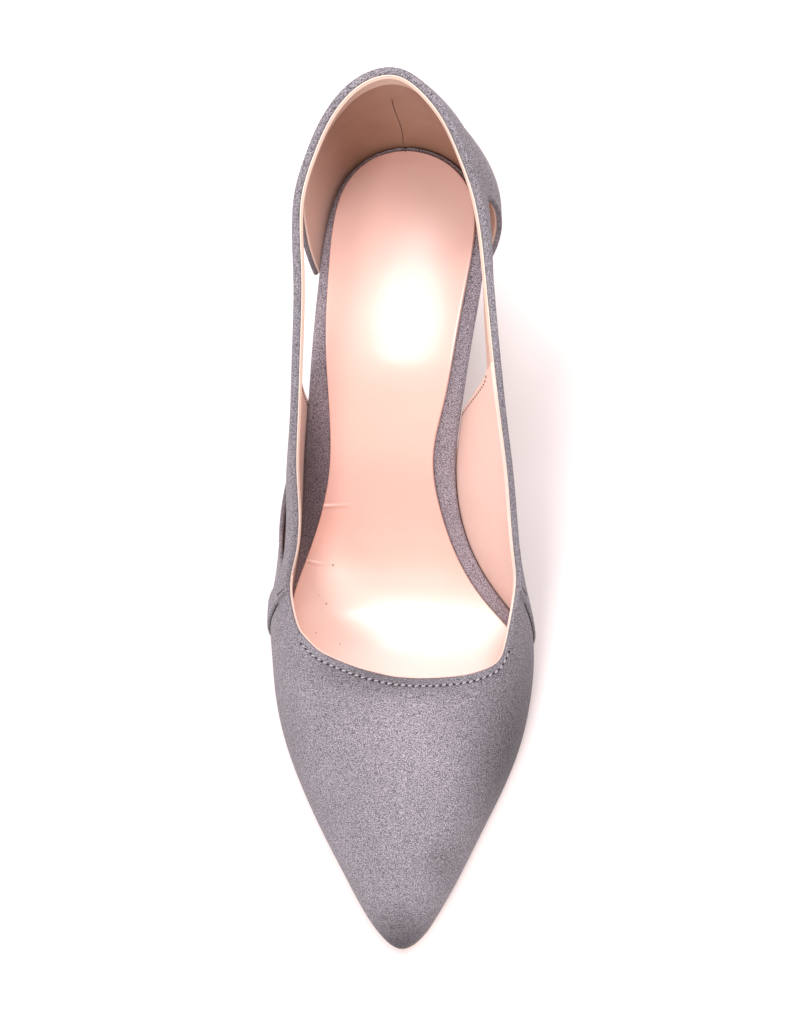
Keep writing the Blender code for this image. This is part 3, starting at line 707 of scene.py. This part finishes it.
def section_of(place, side):
    """Section numbers of places along the loop on one side."""
    knots = np.append(LOOP.knots, LOOP.length)
    index = np.interp(place, knots, np.arange(len(knots)))
    return index if side < 0 else 2 * LAST_SECTION - index


def wing_flare(side, place, share):
    """How far a wing stands off along its slot: most at the slot's middle, and fading downwards."""
    dip = slot_dip(section_of(place, side))
    below = (1.0 - share) * section_length(place) - STRAP_HEIGHT - dip
    fade = np.clip(1.0 - below / FLARE_REACH, 0.0, 1.0)
    return SLOT_FLARE * dip / SLOT_DEPTH * fade ** 2


def wing_panel(side, columns, rows, slot=True):
    """Places and shares of a wing, from band to window, with the slot as a dip in its upper edge."""
    up = crowded(rows, PANEL_EDGE)
    start = place_of(UNDER_BAND, side) + side * band_lean(up)
    place = between(start, window_ends(side, up)[0], columns)
    dip = slot_dip(section_of(place, side)) if slot else np.zeros(place.shape)
    drop = STRAP_HEIGHT - TUCK * (1.0 - np.clip(dip / TUCK, 0.0, 1.0)) + dip
    return place, (1.0 - drop / section_length(place)) * up[None, :]


def counter_panel(columns, rows):
    """Places and shares of the counter: round the heel from one window to the other, up to the strap."""
    up = crowded(rows, PANEL_EDGE)
    place = between(window_ends(-1, up)[1], window_ends(1, up)[1], columns, COUNTER_END)
    return place, below_top(STRAP_HEIGHT - TUCK)(place) * up[None, :]


def toe_span(section):
    """Places from a section on the medial side round the toe to the same section on the lateral side."""
    return float(place_of(section, 1)) - LOOP.length, float(place_of(section, -1))


def heel_span(section):
    """Places from a section on the lateral side round the heel to the same section on the medial side."""
    return float(place_of(section, -1)), float(place_of(section, 1))


def constant(value):
    """Function that gives the same value at every place."""
    return lambda place: np.full(np.shape(place), value)


def below_top(distance):
    """Share that lies a distance below the topline."""
    return lambda place: 1.0 - distance / section_length(place)


def loft_faces(rings, count, base=0):
    """Quads between rings of points that follow one another, and a face over each end."""
    last = base + (rings - 1) * count
    faces = [tuple(range(base, base + count)), tuple(range(last + count - 1, last - 1, -1))]
    for first in range(base, last, count):
        for k in range(count):
            j = (k + 1) % count
            faces.append((first + k, first + j, first + count + j, first + count + k))
    return faces


def turns(count):
    """Evenly spaced angles round a circle."""
    return np.linspace(0.0, 2.0 * math.pi, count + 1)[:-1]


def tube(name, path, normal, half_high, half_wide, material):
    """Closed rolled strip with an oval section, along a path with a normal for each point."""
    across = unit(np.cross(unit(np.gradient(path, axis=0)), normal))
    turn = turns(TUBE_TURNS)
    ring = (normal[:, None, :] * (half_high * np.cos(turn))[None, :, None]
            + across[:, None, :] * (half_wide * np.sin(turn))[None, :, None])
    points = (path[:, None, :] + ring).reshape(-1, 3)
    add_piece(name, points, loft_faces(len(path), TUBE_TURNS), material, "upper")


def stitches(name, spots, along, normal, length, radius, material):
    """Row of short threads, each a small pill that lies along its own direction."""
    points, faces = [], []
    for spot, way, up in zip(spots, unit(along), normal):
        side = unit(np.cross(way, up))
        up = np.cross(side, way)
        faces += loft_faces(THREAD_RINGS, THREAD_TURNS, len(points))
        for level in np.linspace(-0.5 * math.pi, 0.5 * math.pi, THREAD_RINGS):
            middle = spot + way * (0.5 * length * math.sin(level))
            reach = radius * math.cos(level) + THREAD_SLIVER
            for turn in turns(THREAD_TURNS):
                points.append(middle + (side * math.cos(turn) + up * math.sin(turn)) * reach)
    add_piece(name, points, faces, material, "upper")


def stitch_row(name, place, share, material, height, pitch, fill, radius, slant=0.0, start=0.5):
    """Even stitches along a line on the upper, each turned by a slant, from a start in spacings."""
    ground = skin_normal(place, share)
    line = skin(place, share) + ground * height
    span = np.linalg.norm(np.diff(line, axis=0), axis=1)
    reach = np.concatenate(([0.0], np.cumsum(span)))
    at = np.arange(start * pitch, reach[-1], pitch)

    def along_line(values, where):
        return np.column_stack([np.interp(where, reach, values[:, c]) for c in range(3)])

    near = 0.3
    way = unit(along_line(line, at + near) - along_line(line, at - near))
    normal = along_line(ground, at)
    way = way * math.cos(slant) + np.cross(normal, way) * math.sin(slant)
    stitches(name, along_line(line, at), way, normal, pitch * fill, radius, material)


class Shader:
    """Node material in the making, with its Principled shader and object coordinates."""

    def __init__(self, name):
        self.material = bpy.data.materials.new(name)
        self.material.use_nodes = True
        self.nodes = self.material.node_tree.nodes
        self.links = self.material.node_tree.links
        self.principled = self.nodes["Principled BSDF"]
        self.coordinates = self.nodes.new("ShaderNodeTexCoord").outputs["Object"]

    def feed(self, socket, value):
        """Links an input to another node's output, or sets its own value."""
        if isinstance(value, bpy.types.NodeSocket):
            self.links.new(value, socket)
        else:
            socket.default_value = value

    def set(self, **values):
        """Feeds inputs of the Principled shader, named with underscores for spaces."""
        for name, value in values.items():
            self.feed(self.principled.inputs[name.replace("_", " ")], value)

    def vector(self, operation, first, second=(0.0, 0.0, 0.0), output="Vector"):
        """Result of a vector operation."""
        node = self.nodes.new("ShaderNodeVectorMath")
        node.operation = operation
        self.feed(node.inputs[0], first)
        self.feed(node.inputs[1], second)
        return node.outputs[output]

    def noise(self, size, detail=2.0, stretch=None):
        """Noise with features of a size in millimetres, stretched where asked."""
        node = self.nodes.new("ShaderNodeTexNoise")
        node.inputs["Scale"].default_value = 1.0 / (size * MM)
        node.inputs["Detail"].default_value = detail
        source = self.vector("MULTIPLY", self.coordinates, stretch) if stretch else self.coordinates
        self.links.new(source, node.inputs["Vector"])
        return node.outputs["Fac"]

    def spread(self, source, low, high, interpolation="LINEAR"):
        """Value from 0 to 1 moved to a range."""
        node = self.nodes.new("ShaderNodeMapRange")
        node.interpolation_type = interpolation
        self.links.new(source, node.inputs["Value"])
        node.inputs["To Min"].default_value = low
        node.inputs["To Max"].default_value = high
        return node.outputs["Result"]

    def nearness(self, x, v, radius_x, radius_v):
        """1 at a place in plan and 0 beyond its radii, with a smooth fall between."""
        offset = self.vector("SUBTRACT", self.coordinates, in_frame((x, v, 0.0)))
        scaled = self.vector("MULTIPLY", offset, (1.0 / (radius_x * MM), 1.0 / (radius_v * MM), 0.0))
        return self.spread(self.vector("LENGTH", scaled, output="Value"), 1.0, 0.0, "SMOOTHSTEP")

    def within(self, spot, radius):
        """1 inside a ball and 0 outside it."""
        node = self.nodes.new("ShaderNodeMath")
        node.operation = "LESS_THAN"
        self.links.new(self.vector("DISTANCE", self.coordinates, in_frame(spot), "Value"), node.inputs[0])
        node.inputs[1].default_value = radius * MM
        return node.outputs["Value"]

    def ramp(self, source, positions, colours):
        """Colour ramp through colours at positions."""
        node = self.nodes.new("ShaderNodeValToRGB")
        elements = node.color_ramp.elements
        while len(elements) < len(colours):
            elements.new(0.5)
        for element, position, colour in zip(elements, positions, colours):
            element.position = position
            element.color = (*colour, 1.0)
        self.links.new(source, node.inputs["Fac"])
        return node.outputs["Color"]

    def mix(self, blend, factor, first, second):
        """Two colours, each a link or three values, mixed by a blend."""
        node = self.nodes.new("ShaderNodeMix")
        node.data_type = "RGBA"
        node.blend_type = blend
        for socket, value in (("Factor_Float", factor), ("A_Color", first), ("B_Color", second)):
            value = (*value, 1.0) if isinstance(value, tuple) else value
            self.feed(next(s for s in node.inputs if s.identifier == socket), value)
        return next(s for s in node.outputs if s.identifier == "Result_Color")

    def bump(self, source, strength, depth):
        """Normal with a bump of a depth in millimetres."""
        node = self.nodes.new("ShaderNodeBump")
        node.inputs["Strength"].default_value = strength
        node.inputs["Distance"].default_value = depth * MM
        self.links.new(source, node.inputs["Height"])
        return node.outputs["Normal"]


def suede(name, greys, light_and_shade_patches=()):
    """Napped leather: soft brushed clouds, listed spots of painted light and shade, a salt-and-pepper
    grain.
    """
    shader = Shader(name)
    nap_and_shade = shader.ramp(shader.noise(22.0, 3.0), (0.25, 0.5, 0.75), greys)
    # Painted light and shade, spot by spot
    for *where, gain in light_and_shade_patches:
        nap_and_shade = shader.mix("MULTIPLY", shader.nearness(*where), nap_and_shade, (gain, gain, gain))
    grain = shader.noise(0.32, 3.0)
    pepper = shader.ramp(grain, (0.34, 0.5, 0.66), PEPPER)
    shader.set(Base_Color=shader.mix("OVERLAY", 0.9, nap_and_shade, pepper),
               Roughness=shader.spread(shader.noise(3.0), 0.86, 1.0),
               Normal=shader.bump(grain, 0.5, 0.25),
               Sheen_Weight=0.12, Sheen_Roughness=0.5, Sheen_Tint=(*SHEEN, 1.0), Specular_IOR_Level=0.1)
    return shader.material


def satin(name):
    """Glossy peach sock: fine weave, uneven gloss, a painted highlight over the forefoot, painted shade at
    the heel end and a few specks.
    """
    shader = Shader(name)
    cloth_and_painted_light = shader.ramp(shader.noise(26.0), (0.3, 0.7), SATIN_PEACH)
    # Painted highlight over the forefoot and painted shade at the heel end
    for *where, colour in SOCK_HIGHLIGHT_AND_SHADE:
        cloth_and_painted_light = shader.mix("MIX", shader.nearness(*where), cloth_and_painted_light, colour)
    for x, v, radius in SPECKS:
        hit = shader.within((x, v, float(layer_height(v, 0.0))), radius)
        cloth_and_painted_light = shader.mix("MULTIPLY", hit, cloth_and_painted_light, SPECK_SHADE)
    weave = shader.noise(0.5, stretch=(1.0, 0.25, 1.0))
    shader.set(Base_Color=cloth_and_painted_light,
               Roughness=shader.spread(shader.noise(9.0, 3.0), 0.26, 0.34),
               Normal=shader.bump(weave, 0.08, 0.05),
               Specular_IOR_Level=0.8, Coat_Weight=0.5, Coat_Roughness=0.16)
    return shader.material


def lining(name, tones, roughness, lit_ends=()):
    """Smooth lining with a faint pore, slow changes of tone and, where asked, ends painted lighter where
    lit.
    """
    shader = Shader(name)
    tone = shader.ramp(shader.noise(11.0, 4.0), (0.3, 0.7), tones)
    for where in lit_ends:
        tone = shader.mix("MIX", shader.nearness(*where), tone, LIT_LINING_TONE)
    shader.set(Base_Color=tone,
               Roughness=shader.spread(shader.noise(5.0), roughness - 0.06, roughness + 0.08),
               Normal=shader.bump(shader.noise(0.7), 0.18, 0.12),
               Specular_IOR_Level=0.35)
    return shader.material


def thread(name, tones):
    """Matt thread with a fine change of tone."""
    shader = Shader(name)
    shader.set(Base_Color=shader.ramp(shader.noise(0.4), (0.35, 0.65), tones),
               Roughness=shader.spread(shader.noise(0.3), 0.65, 0.9),
               Specular_IOR_Level=0.25)
    return shader.material


def sole_leather(name):
    """Tan sole with long faint fibres."""
    shader = Shader(name)
    fibres = shader.noise(1.6, 4.0, (1.0, 0.12, 1.0))
    shader.set(Base_Color=shader.ramp(fibres, (0.3, 0.7), SOLE_TAN),
               Roughness=shader.spread(shader.noise(6.0, 3.0), 0.4, 0.62),
               Normal=shader.bump(fibres, 0.15, 0.1),
               Specular_IOR_Level=0.4)
    return shader.material


def rubber(name):
    """Black rubber with a fine grain."""
    shader = Shader(name)
    grain = shader.noise(0.5, 3.0)
    shader.set(Base_Color=shader.ramp(grain, (0.3, 0.7), TIP_BLACK),
               Roughness=shader.spread(shader.noise(2.0), 0.6, 0.82),
               Normal=shader.bump(grain, 0.25, 0.1))
    return shader.material


def crease_height(x, v):
    """Height added by the sock's creases: a trough, or a ridge where the depth is negative."""
    total = np.zeros(np.shape(x))
    for x0, v0, x1, v1, width, depth in CREASES:
        length = math.hypot(x1 - x0, v1 - v0)
        way_x, way_v = (x1 - x0) / length, (v1 - v0) / length
        along = (x - x0) * way_x + (v - v0) * way_v
        off = (x - x0) * way_v - (v - v0) * way_x
        fade = np.clip(np.minimum(1.0 - along / length, 1.0 + 8.0 * along / length), 0.0, 1.0)
        ratio = off / width
        total += depth * np.sqrt(fade) * (1.2 * ratio ** 2 - 1.0) * np.exp(-ratio ** 2)
    return total


def sock_relief(x, v, way):
    """The sock's creases, and the shallow dish of the seat and waist, by share of the way across."""
    dish = table_curve(DISH, "depth", v)
    off = 2.0 * way - 1.0
    return crease_height(x, v) + dish * (off ** 2 - DISH_LEVEL)


def layer_piece(name, edges, top_depth, bottom_depth, roll, across, material, relief=None):
    """Sheet between two depths below the top of the sock and between two edges, with a rolled rim."""
    lateral, medial = edges
    way = crowded(across, PANEL_EDGE)
    plan = lateral[:, None, :] + (medial - lateral)[:, None, :] * way[None, :, None]
    near = np.minimum(edge_distance(plan, 1), edge_distance(plan, 0))
    swell = rolled(near, ROLL[roll])
    middle, sliver = 0.5 * (top_depth + bottom_depth), LAYER_SLIVER
    high = layer_height(plan[..., 1], middle - sliver - (middle - sliver - top_depth) * swell)
    low = layer_height(plan[..., 1], middle + sliver + (bottom_depth - middle - sliver) * swell)
    if relief is not None:
        high = high + relief(plan[..., 0], plan[..., 1], np.broadcast_to(way, high.shape)) * swell
    face = np.concatenate((plan, high[..., None]), axis=2)
    back = np.concatenate((plan, low[..., None]), axis=2)
    points, faces = closed_sheet(face, back)
    add_piece(name, points, faces, material, name)


def make_sock(material):
    """Thin sock on the board, with closer rows at its creases."""
    even = np.linspace(LAYER_START, LAST_SECTION - LAYER_START, 300)
    sections = np.sort(np.append(even, np.linspace(*CREASED_SECTIONS, 110)))
    edges = outline_sides(board_inset, sections, bare_rim=True)
    layer_piece("sock", edges, 0.0, SOCK_THICKNESS, "sock", 90, material, sock_relief)


def make_board(material):
    """Wrapped board under the sock, with its rim bare along the waist and the heel."""
    sections = np.linspace(LAYER_START, LAST_SECTION - LAYER_START, 240)
    edges = outline_sides(lambda v: board_inset(v) - BOARD_SNUG, sections)
    layer_piece("insole_board", edges, BOARD_TOP, BOARD_BOTTOM, "board", 60, material)


def make_sole(material):
    """Thin sole from the toe tip to the heel breast."""
    end = BREAST - GAP
    edges = outline_sides(sole_inset, np.linspace(LAYER_START, LAST_SECTION, 400))
    count = min(int((edge[:, 1] < end).sum()) for edge in edges)
    edges = [np.vstack((edge[:count], (np.interp(end, edge[:, 1], edge[:, 0]), end))) for edge in edges]
    layer_piece("outsole", edges, SOLE_TOP, SOLE_BOTTOM, "sole", 40, material)


def seat_outline():
    """Seat edge behind the heel breast, from the lateral front corner round the back to the medial one."""
    edge = LOOP.at(np.linspace(*heel_span(SEAT_START), 400))[:, :2]
    turn = int(edge[:, 1].argmax())
    start = float(np.interp(BREAST, edge[:turn, 1], np.arange(turn)))
    stop = float(np.interp(-BREAST, -edge[turn:, 1], np.arange(turn, len(edge))))
    at = np.linspace(start, stop, SEAT_STEPS)
    index = np.arange(len(edge))
    return np.column_stack((np.interp(at, index, edge[:, 0]), np.interp(at, index, edge[:, 1])))


def heel_outline(seat, level):
    """Plan outline of one heel level: the seat's outline drawn smaller, and moved to the level's middle."""
    first = table_row(HEEL_LEVELS, 0)
    drawn = level["half_width"] / first["half_width"]
    centre = HEEL_CENTRE_SEAT + (HEEL_CENTRE_TIP - HEEL_CENTRE_SEAT) * (1 - drawn)
    length = (level["back"] - level["front"]) / (first["back"] - first["front"])
    return np.column_stack((centre + (seat[:, 0] - HEEL_CENTRE_SEAT) * drawn,
                            level["front"] + (seat[:, 1] - BREAST) * length))


def with_breast(outline):
    """Outline closed across the heel breast with evenly spaced points."""
    share = np.linspace(0.0, 1.0, BREAST_STEPS + 2)[1:-1, None]
    return np.vstack((outline, outline[-1] + (outline[0] - outline[-1]) * share))


def ring_piece(name, rings, bevel, material):
    """Closed piece through rings with the same number of points, with softened corners."""
    faces = loft_faces(len(rings), len(rings[0]))
    piece = add_piece(name, np.vstack(rings), faces, material, name)
    soften = piece.modifiers.new("soften", "BEVEL")
    soften.limit_method = "ANGLE"
    soften.angle_limit = SOFT_CORNER
    soften.width = bevel * MM
    soften.segments = 3


def make_heel(material):
    """Covered heel, lofted from the sloping seat down to its level tip."""
    seat = seat_outline()
    seat_z = layer_height(with_breast(seat)[:, 1], SOLE_TOP)
    depths = table_column(HEEL_LEVELS, "depth")
    rings = []
    for depth in np.linspace(depths[0], depths[-1], HEEL_RINGS):
        level = {name: table_curve(HEEL_LEVELS, name, depth) for name in HEEL_LEVELS[0]}
        outline = with_breast(heel_outline(seat, level))
        z = seat_z + (level["z"] - seat_z) * level["flatness"]
        rings.append(np.column_stack((outline, z)))
    ring_piece("heel", rings, 0.5, material)


def make_top_piece(material):
    """Small tip under the heel."""
    level = table_row(HEEL_LEVELS, -1)
    outline = with_breast(heel_outline(seat_outline(), level))
    rings = [np.column_stack((outline, np.full(len(outline), z)))
             for z in np.linspace(0.0, TOP_PIECE_THICKNESS, TIP_RINGS)]
    ring_piece("top_piece", rings, 0.35, material)


def make_suede_panels(material):
    """Vamp, fold of the throat, counter, wings, diagonal bands and strap."""
    leather("vamp", vamp_panel(VAMP_END, 300, 70), 0.0, SUEDE_BACK, "vamp", material)
    fold = straight_panel(toe_span(FOLD_END), below_top(FOLD_WIDTH), constant(1.0), 300, 8, edge=0.2)
    leather("throat_fold", fold, FOLD_FACE, SUEDE_BACK, "fold", material)
    leather("counter", counter_panel(170, 50), 0.0, SUEDE_BACK, "counter", material)
    for side, name in SIDES:
        wing = wing_panel(side, 110, 60)
        leather(name + "_wing", wing, 0.0, SUEDE_BACK, "wing", material, wing_flare(side, *wing))
        leather(name + "_band", band_panel(side, 16, 60), BAND_FACE, SUEDE_BACK, "band", material)
    strap = straight_panel(heel_span(BAND_FRONT), below_top(STRAP_HEIGHT), constant(1.0),
                           420, 14, edge=0.12, end=0.004)
    leather("strap", strap, BAND_STEP, SUEDE_BACK, "strap", material)


def make_linings(peach, shaded_counter_lining, shaded_strap_lining, cream):
    """Linings behind the panels, and the cream edge that shows along the topline."""
    leather("vamp_lining", vamp_panel(UNDER_BAND, 220, 40), LINING_BACK, LINING_FACE, "lining", peach)
    # The counter's lining: peach painted in shade, lighter at its lit ends
    leather("counter_lining", counter_panel(140, 40), LINING_BACK, LINING_FACE, "lining", shaded_counter_lining)
    for side, name in SIDES:
        wing = wing_panel(side, 90, 44, slot=False)
        leather(name + "_wing_lining", wing, LINING_BACK, LINING_FACE, "lining", peach)
    start, stop = heel_span(STRAP_LINING_END)
    middle = float(place_of(WINDOW_FRONT, 1))
    low, high = below_top(STRAP_HEIGHT - STRAP_LINING_INSET), below_top(STRAP_LINING_INSET)
    # The strap's lining is peach: painted in shade on the lateral side and round the back, plain on the
    # medial side
    for name, span, material in (("strap_lining", (start, middle), shaded_strap_lining),
                                 ("medial_strap_lining", (middle, stop), peach)):
        strap = straight_panel(span, low, high, 240, 10, edge=0.12, end=0.004)
        leather(name, strap, LINING_BACK, STRAP_LINING_FACE, "lining", material)
    edge = straight_panel(heel_span(EDGE_END), below_top(EDGE_WIDTH), constant(1.0),
                          520, 6, edge=0.2, end=0.002)
    leather("lining_edge", edge, EDGE_BACK, EDGE_FACE, "lining_edge", cream)


def make_bindings(material):
    """Rolled bindings along the counter's front edges."""
    up = np.linspace(0.0, 1.0, 70)
    for side, name in SIDES:
        place = window_ends(side, up)[1]
        share = up * below_top(STRAP_HEIGHT)(place)
        normal = skin_normal(place, share)
        path = skin(place, share) + normal * (0.5 * SUEDE_BACK)
        half_high = 0.5 * abs(SUEDE_BACK) + BINDING_SWELL
        tube(name + "_window_binding", path, normal, half_high, BINDING_HALF_WIDTH, material)


def make_throat_stitches(grey, dark):
    """Twisted thread along the throat's front, with dark pills between the stitches as painted shadow in
    its needle holes.
    """
    place = np.linspace(*toe_span(STITCH_END), 500)
    share = below_top(THROAT_ROW)(place)
    for name, material in (("throat_stitches", grey), ("throat_hole_shadows", dark)):
        stitch_row(name, place, share, material, **STITCHES[name])


def make_wing_stitches(side, name, dark, brown):
    """Stitches along a wing's rear edge on both faces, seams of the band drawn unbroken as painted shadow
    lines, and the tack of the strap.
    """
    up = np.linspace(0.03, 0.97, 120)
    place = window_ends(side, up)[0] + side * WING_ROW
    share = up * below_top(STRAP_HEIGHT)(place)
    for row, material in (("wing_stitches", dark), ("wing_inner_stitches", brown)):
        stitch_row(name + "_" + row, place, share, material, **STITCHES[row])
    up = np.linspace(0.02, 0.98, 120)
    for row, section in BAND_SEAM_SHADOWS:
        place = np.full(len(up), float(place_of(section, side)))
        share = up * below_top(STRAP_HEIGHT)(place)
        place = place + side * band_lean(share)
        stitch_row(name + "_band_seam_shadow_" + row, place, share, dark, **STITCHES["band_seam_shadow"])
    down = np.linspace(0.12, 0.88, 30)
    place = np.full(len(down), float(place_of(BAND_FRONT, side)) - side * TACK_ROW)
    share = 1.0 - STRAP_HEIGHT * down / section_length(place)
    stitch_row(name + "_bar_tack", place, share, dark, **STITCHES["bar_tack"])


def make_counter_seams(dark, brown):
    """Seam under the strap round the counter, drawn unbroken and dark as the painted shadow of the strap's
    edge, and the slightly wavy seam up the back of its lining.
    """
    place = np.linspace(float(window_ends(-1, 1.0)[1]), float(window_ends(1, 1.0)[1]), 300)
    share = below_top(COUNTER_ROW)(place)
    stitch_row("counter_seam_shadow", place, share, dark, **STITCHES["counter_seam_shadow"])
    share = np.linspace(0.05, 0.62, 60)
    place = float(place_of(LAST_SECTION, -1)) + 0.5 * np.sin(share * 9.0) - 1.0
    stitch_row("back_seam", place, share, brown, **STITCHES["back_seam"])


def make_shoe():
    """All pieces of the shoe in their materials."""
    dark = thread("dark_thread", DARK_THREAD)
    brown = thread("brown_thread", BROWN_THREAD)
    peach = lining("peach_lining", PEACH, 0.46)
    # Peach painted in shade for the counter's lining, lighter at its lit ends
    shaded_counter_lining = lining("counter_lining", COUNTER_LINING_SHADE, 0.42, LIT_LINING_ENDS)
    # Peach painted in shade for the strap's lining
    shaded_strap_lining = lining("strap_lining", STRAP_LINING_SHADE, 0.46)
    cream = lining("cream_edge", CREAM, 0.5)
    make_suede_panels(suede("upper_suede", UPPER_GREYS, NAP_AND_PAINTED_SHADE))
    make_linings(peach, shaded_counter_lining, shaded_strap_lining, cream)
    make_bindings(suede("binding_suede", BINDING_GREYS))
    make_throat_stitches(thread("grey_thread", GREY_THREAD), dark)
    for side, name in SIDES:
        make_wing_stitches(side, name, dark, brown)
    make_counter_seams(dark, brown)
    make_sock(satin("sock_satin"))
    make_board(suede("board_suede", BOARD_GREYS, BOARD_LIGHT_AND_SHADE))
    make_sole(sole_leather("outsole_tan"))
    make_heel(suede("heel_suede", UPPER_GREYS))
    make_top_piece(rubber("heel_tip"))


def make_floor():
    """Plain pale floor under the shoe."""
    corners = [(x * FLOOR_HALF, y * FLOOR_HALF, 0.0) for x, y in ((-1, -1), (1, -1), (1, 1), (-1, 1))]
    mesh = bpy.data.meshes.new("floor")
    mesh.from_pydata(corners, [], [(0, 1, 2, 3)])
    shader = Shader("floor_paper")
    shader.set(Base_Color=shader.ramp(shader.noise(220.0), (0.3, 0.7), FLOOR_PALE),
               Roughness=0.9, Specular_IOR_Level=0.1)
    mesh.materials.append(shader.material)
    add_object("floor", mesh)


def aim(thing, at, target, up):
    """Places a lamp or camera, looking at a target with a given upward direction."""
    back = (Vector(at) - Vector(target)).normalized()
    right = Vector(up).cross(back).normalized()
    above = back.cross(right)
    turn = Matrix((right, above, back)).transposed()
    thing.matrix_world = Matrix.Translation(Vector(at)) @ turn.to_4x4()


def make_lamp(name, at, up, width, length, power, colour):
    """Soft lamp that looks at the shoe, with its length along the upward direction."""
    light = bpy.data.lights.new(name, "AREA")
    light.shape = "ELLIPSE"
    light.size = width
    light.size_y = length
    light.energy = power
    light.color = colour
    aim(add_object(name, light), at, LAMP_AIM, up)


def make_light():
    """Bright room, a large soft lamp behind, one overhead and a long one in front that the sock mirrors."""
    scene = bpy.context.scene
    world = bpy.data.worlds.new("room")
    world.use_nodes = True
    sky = world.node_tree.nodes["Background"]
    sky.inputs["Color"].default_value = (*ROOM_COLOUR, 1.0)
    sky.inputs["Strength"].default_value = ROOM_STRENGTH
    scene.world = world
    for name, values in LAMPS.items():
        make_lamp(name, *values)
    scene.view_settings.view_transform = "Standard"
    scene.view_settings.look = "None"
    scene.view_settings.exposure = 0.0


def make_camera():
    """The photograph's view of the shoe, with the shoe in the middle of the picture."""
    data = bpy.data.cameras.new("camera")
    data.sensor_width = CAMERA_SENSOR
    data.lens = CAMERA_LENS
    camera = add_object("camera", data)
    aim(camera, in_frame(CAMERA_AT), in_frame(CAMERA_AIM), CAMERA_UP)
    bpy.context.scene.camera = camera


make_shoe()
make_floor()
make_light()
make_camera()

bpy.context.view_layer.update()
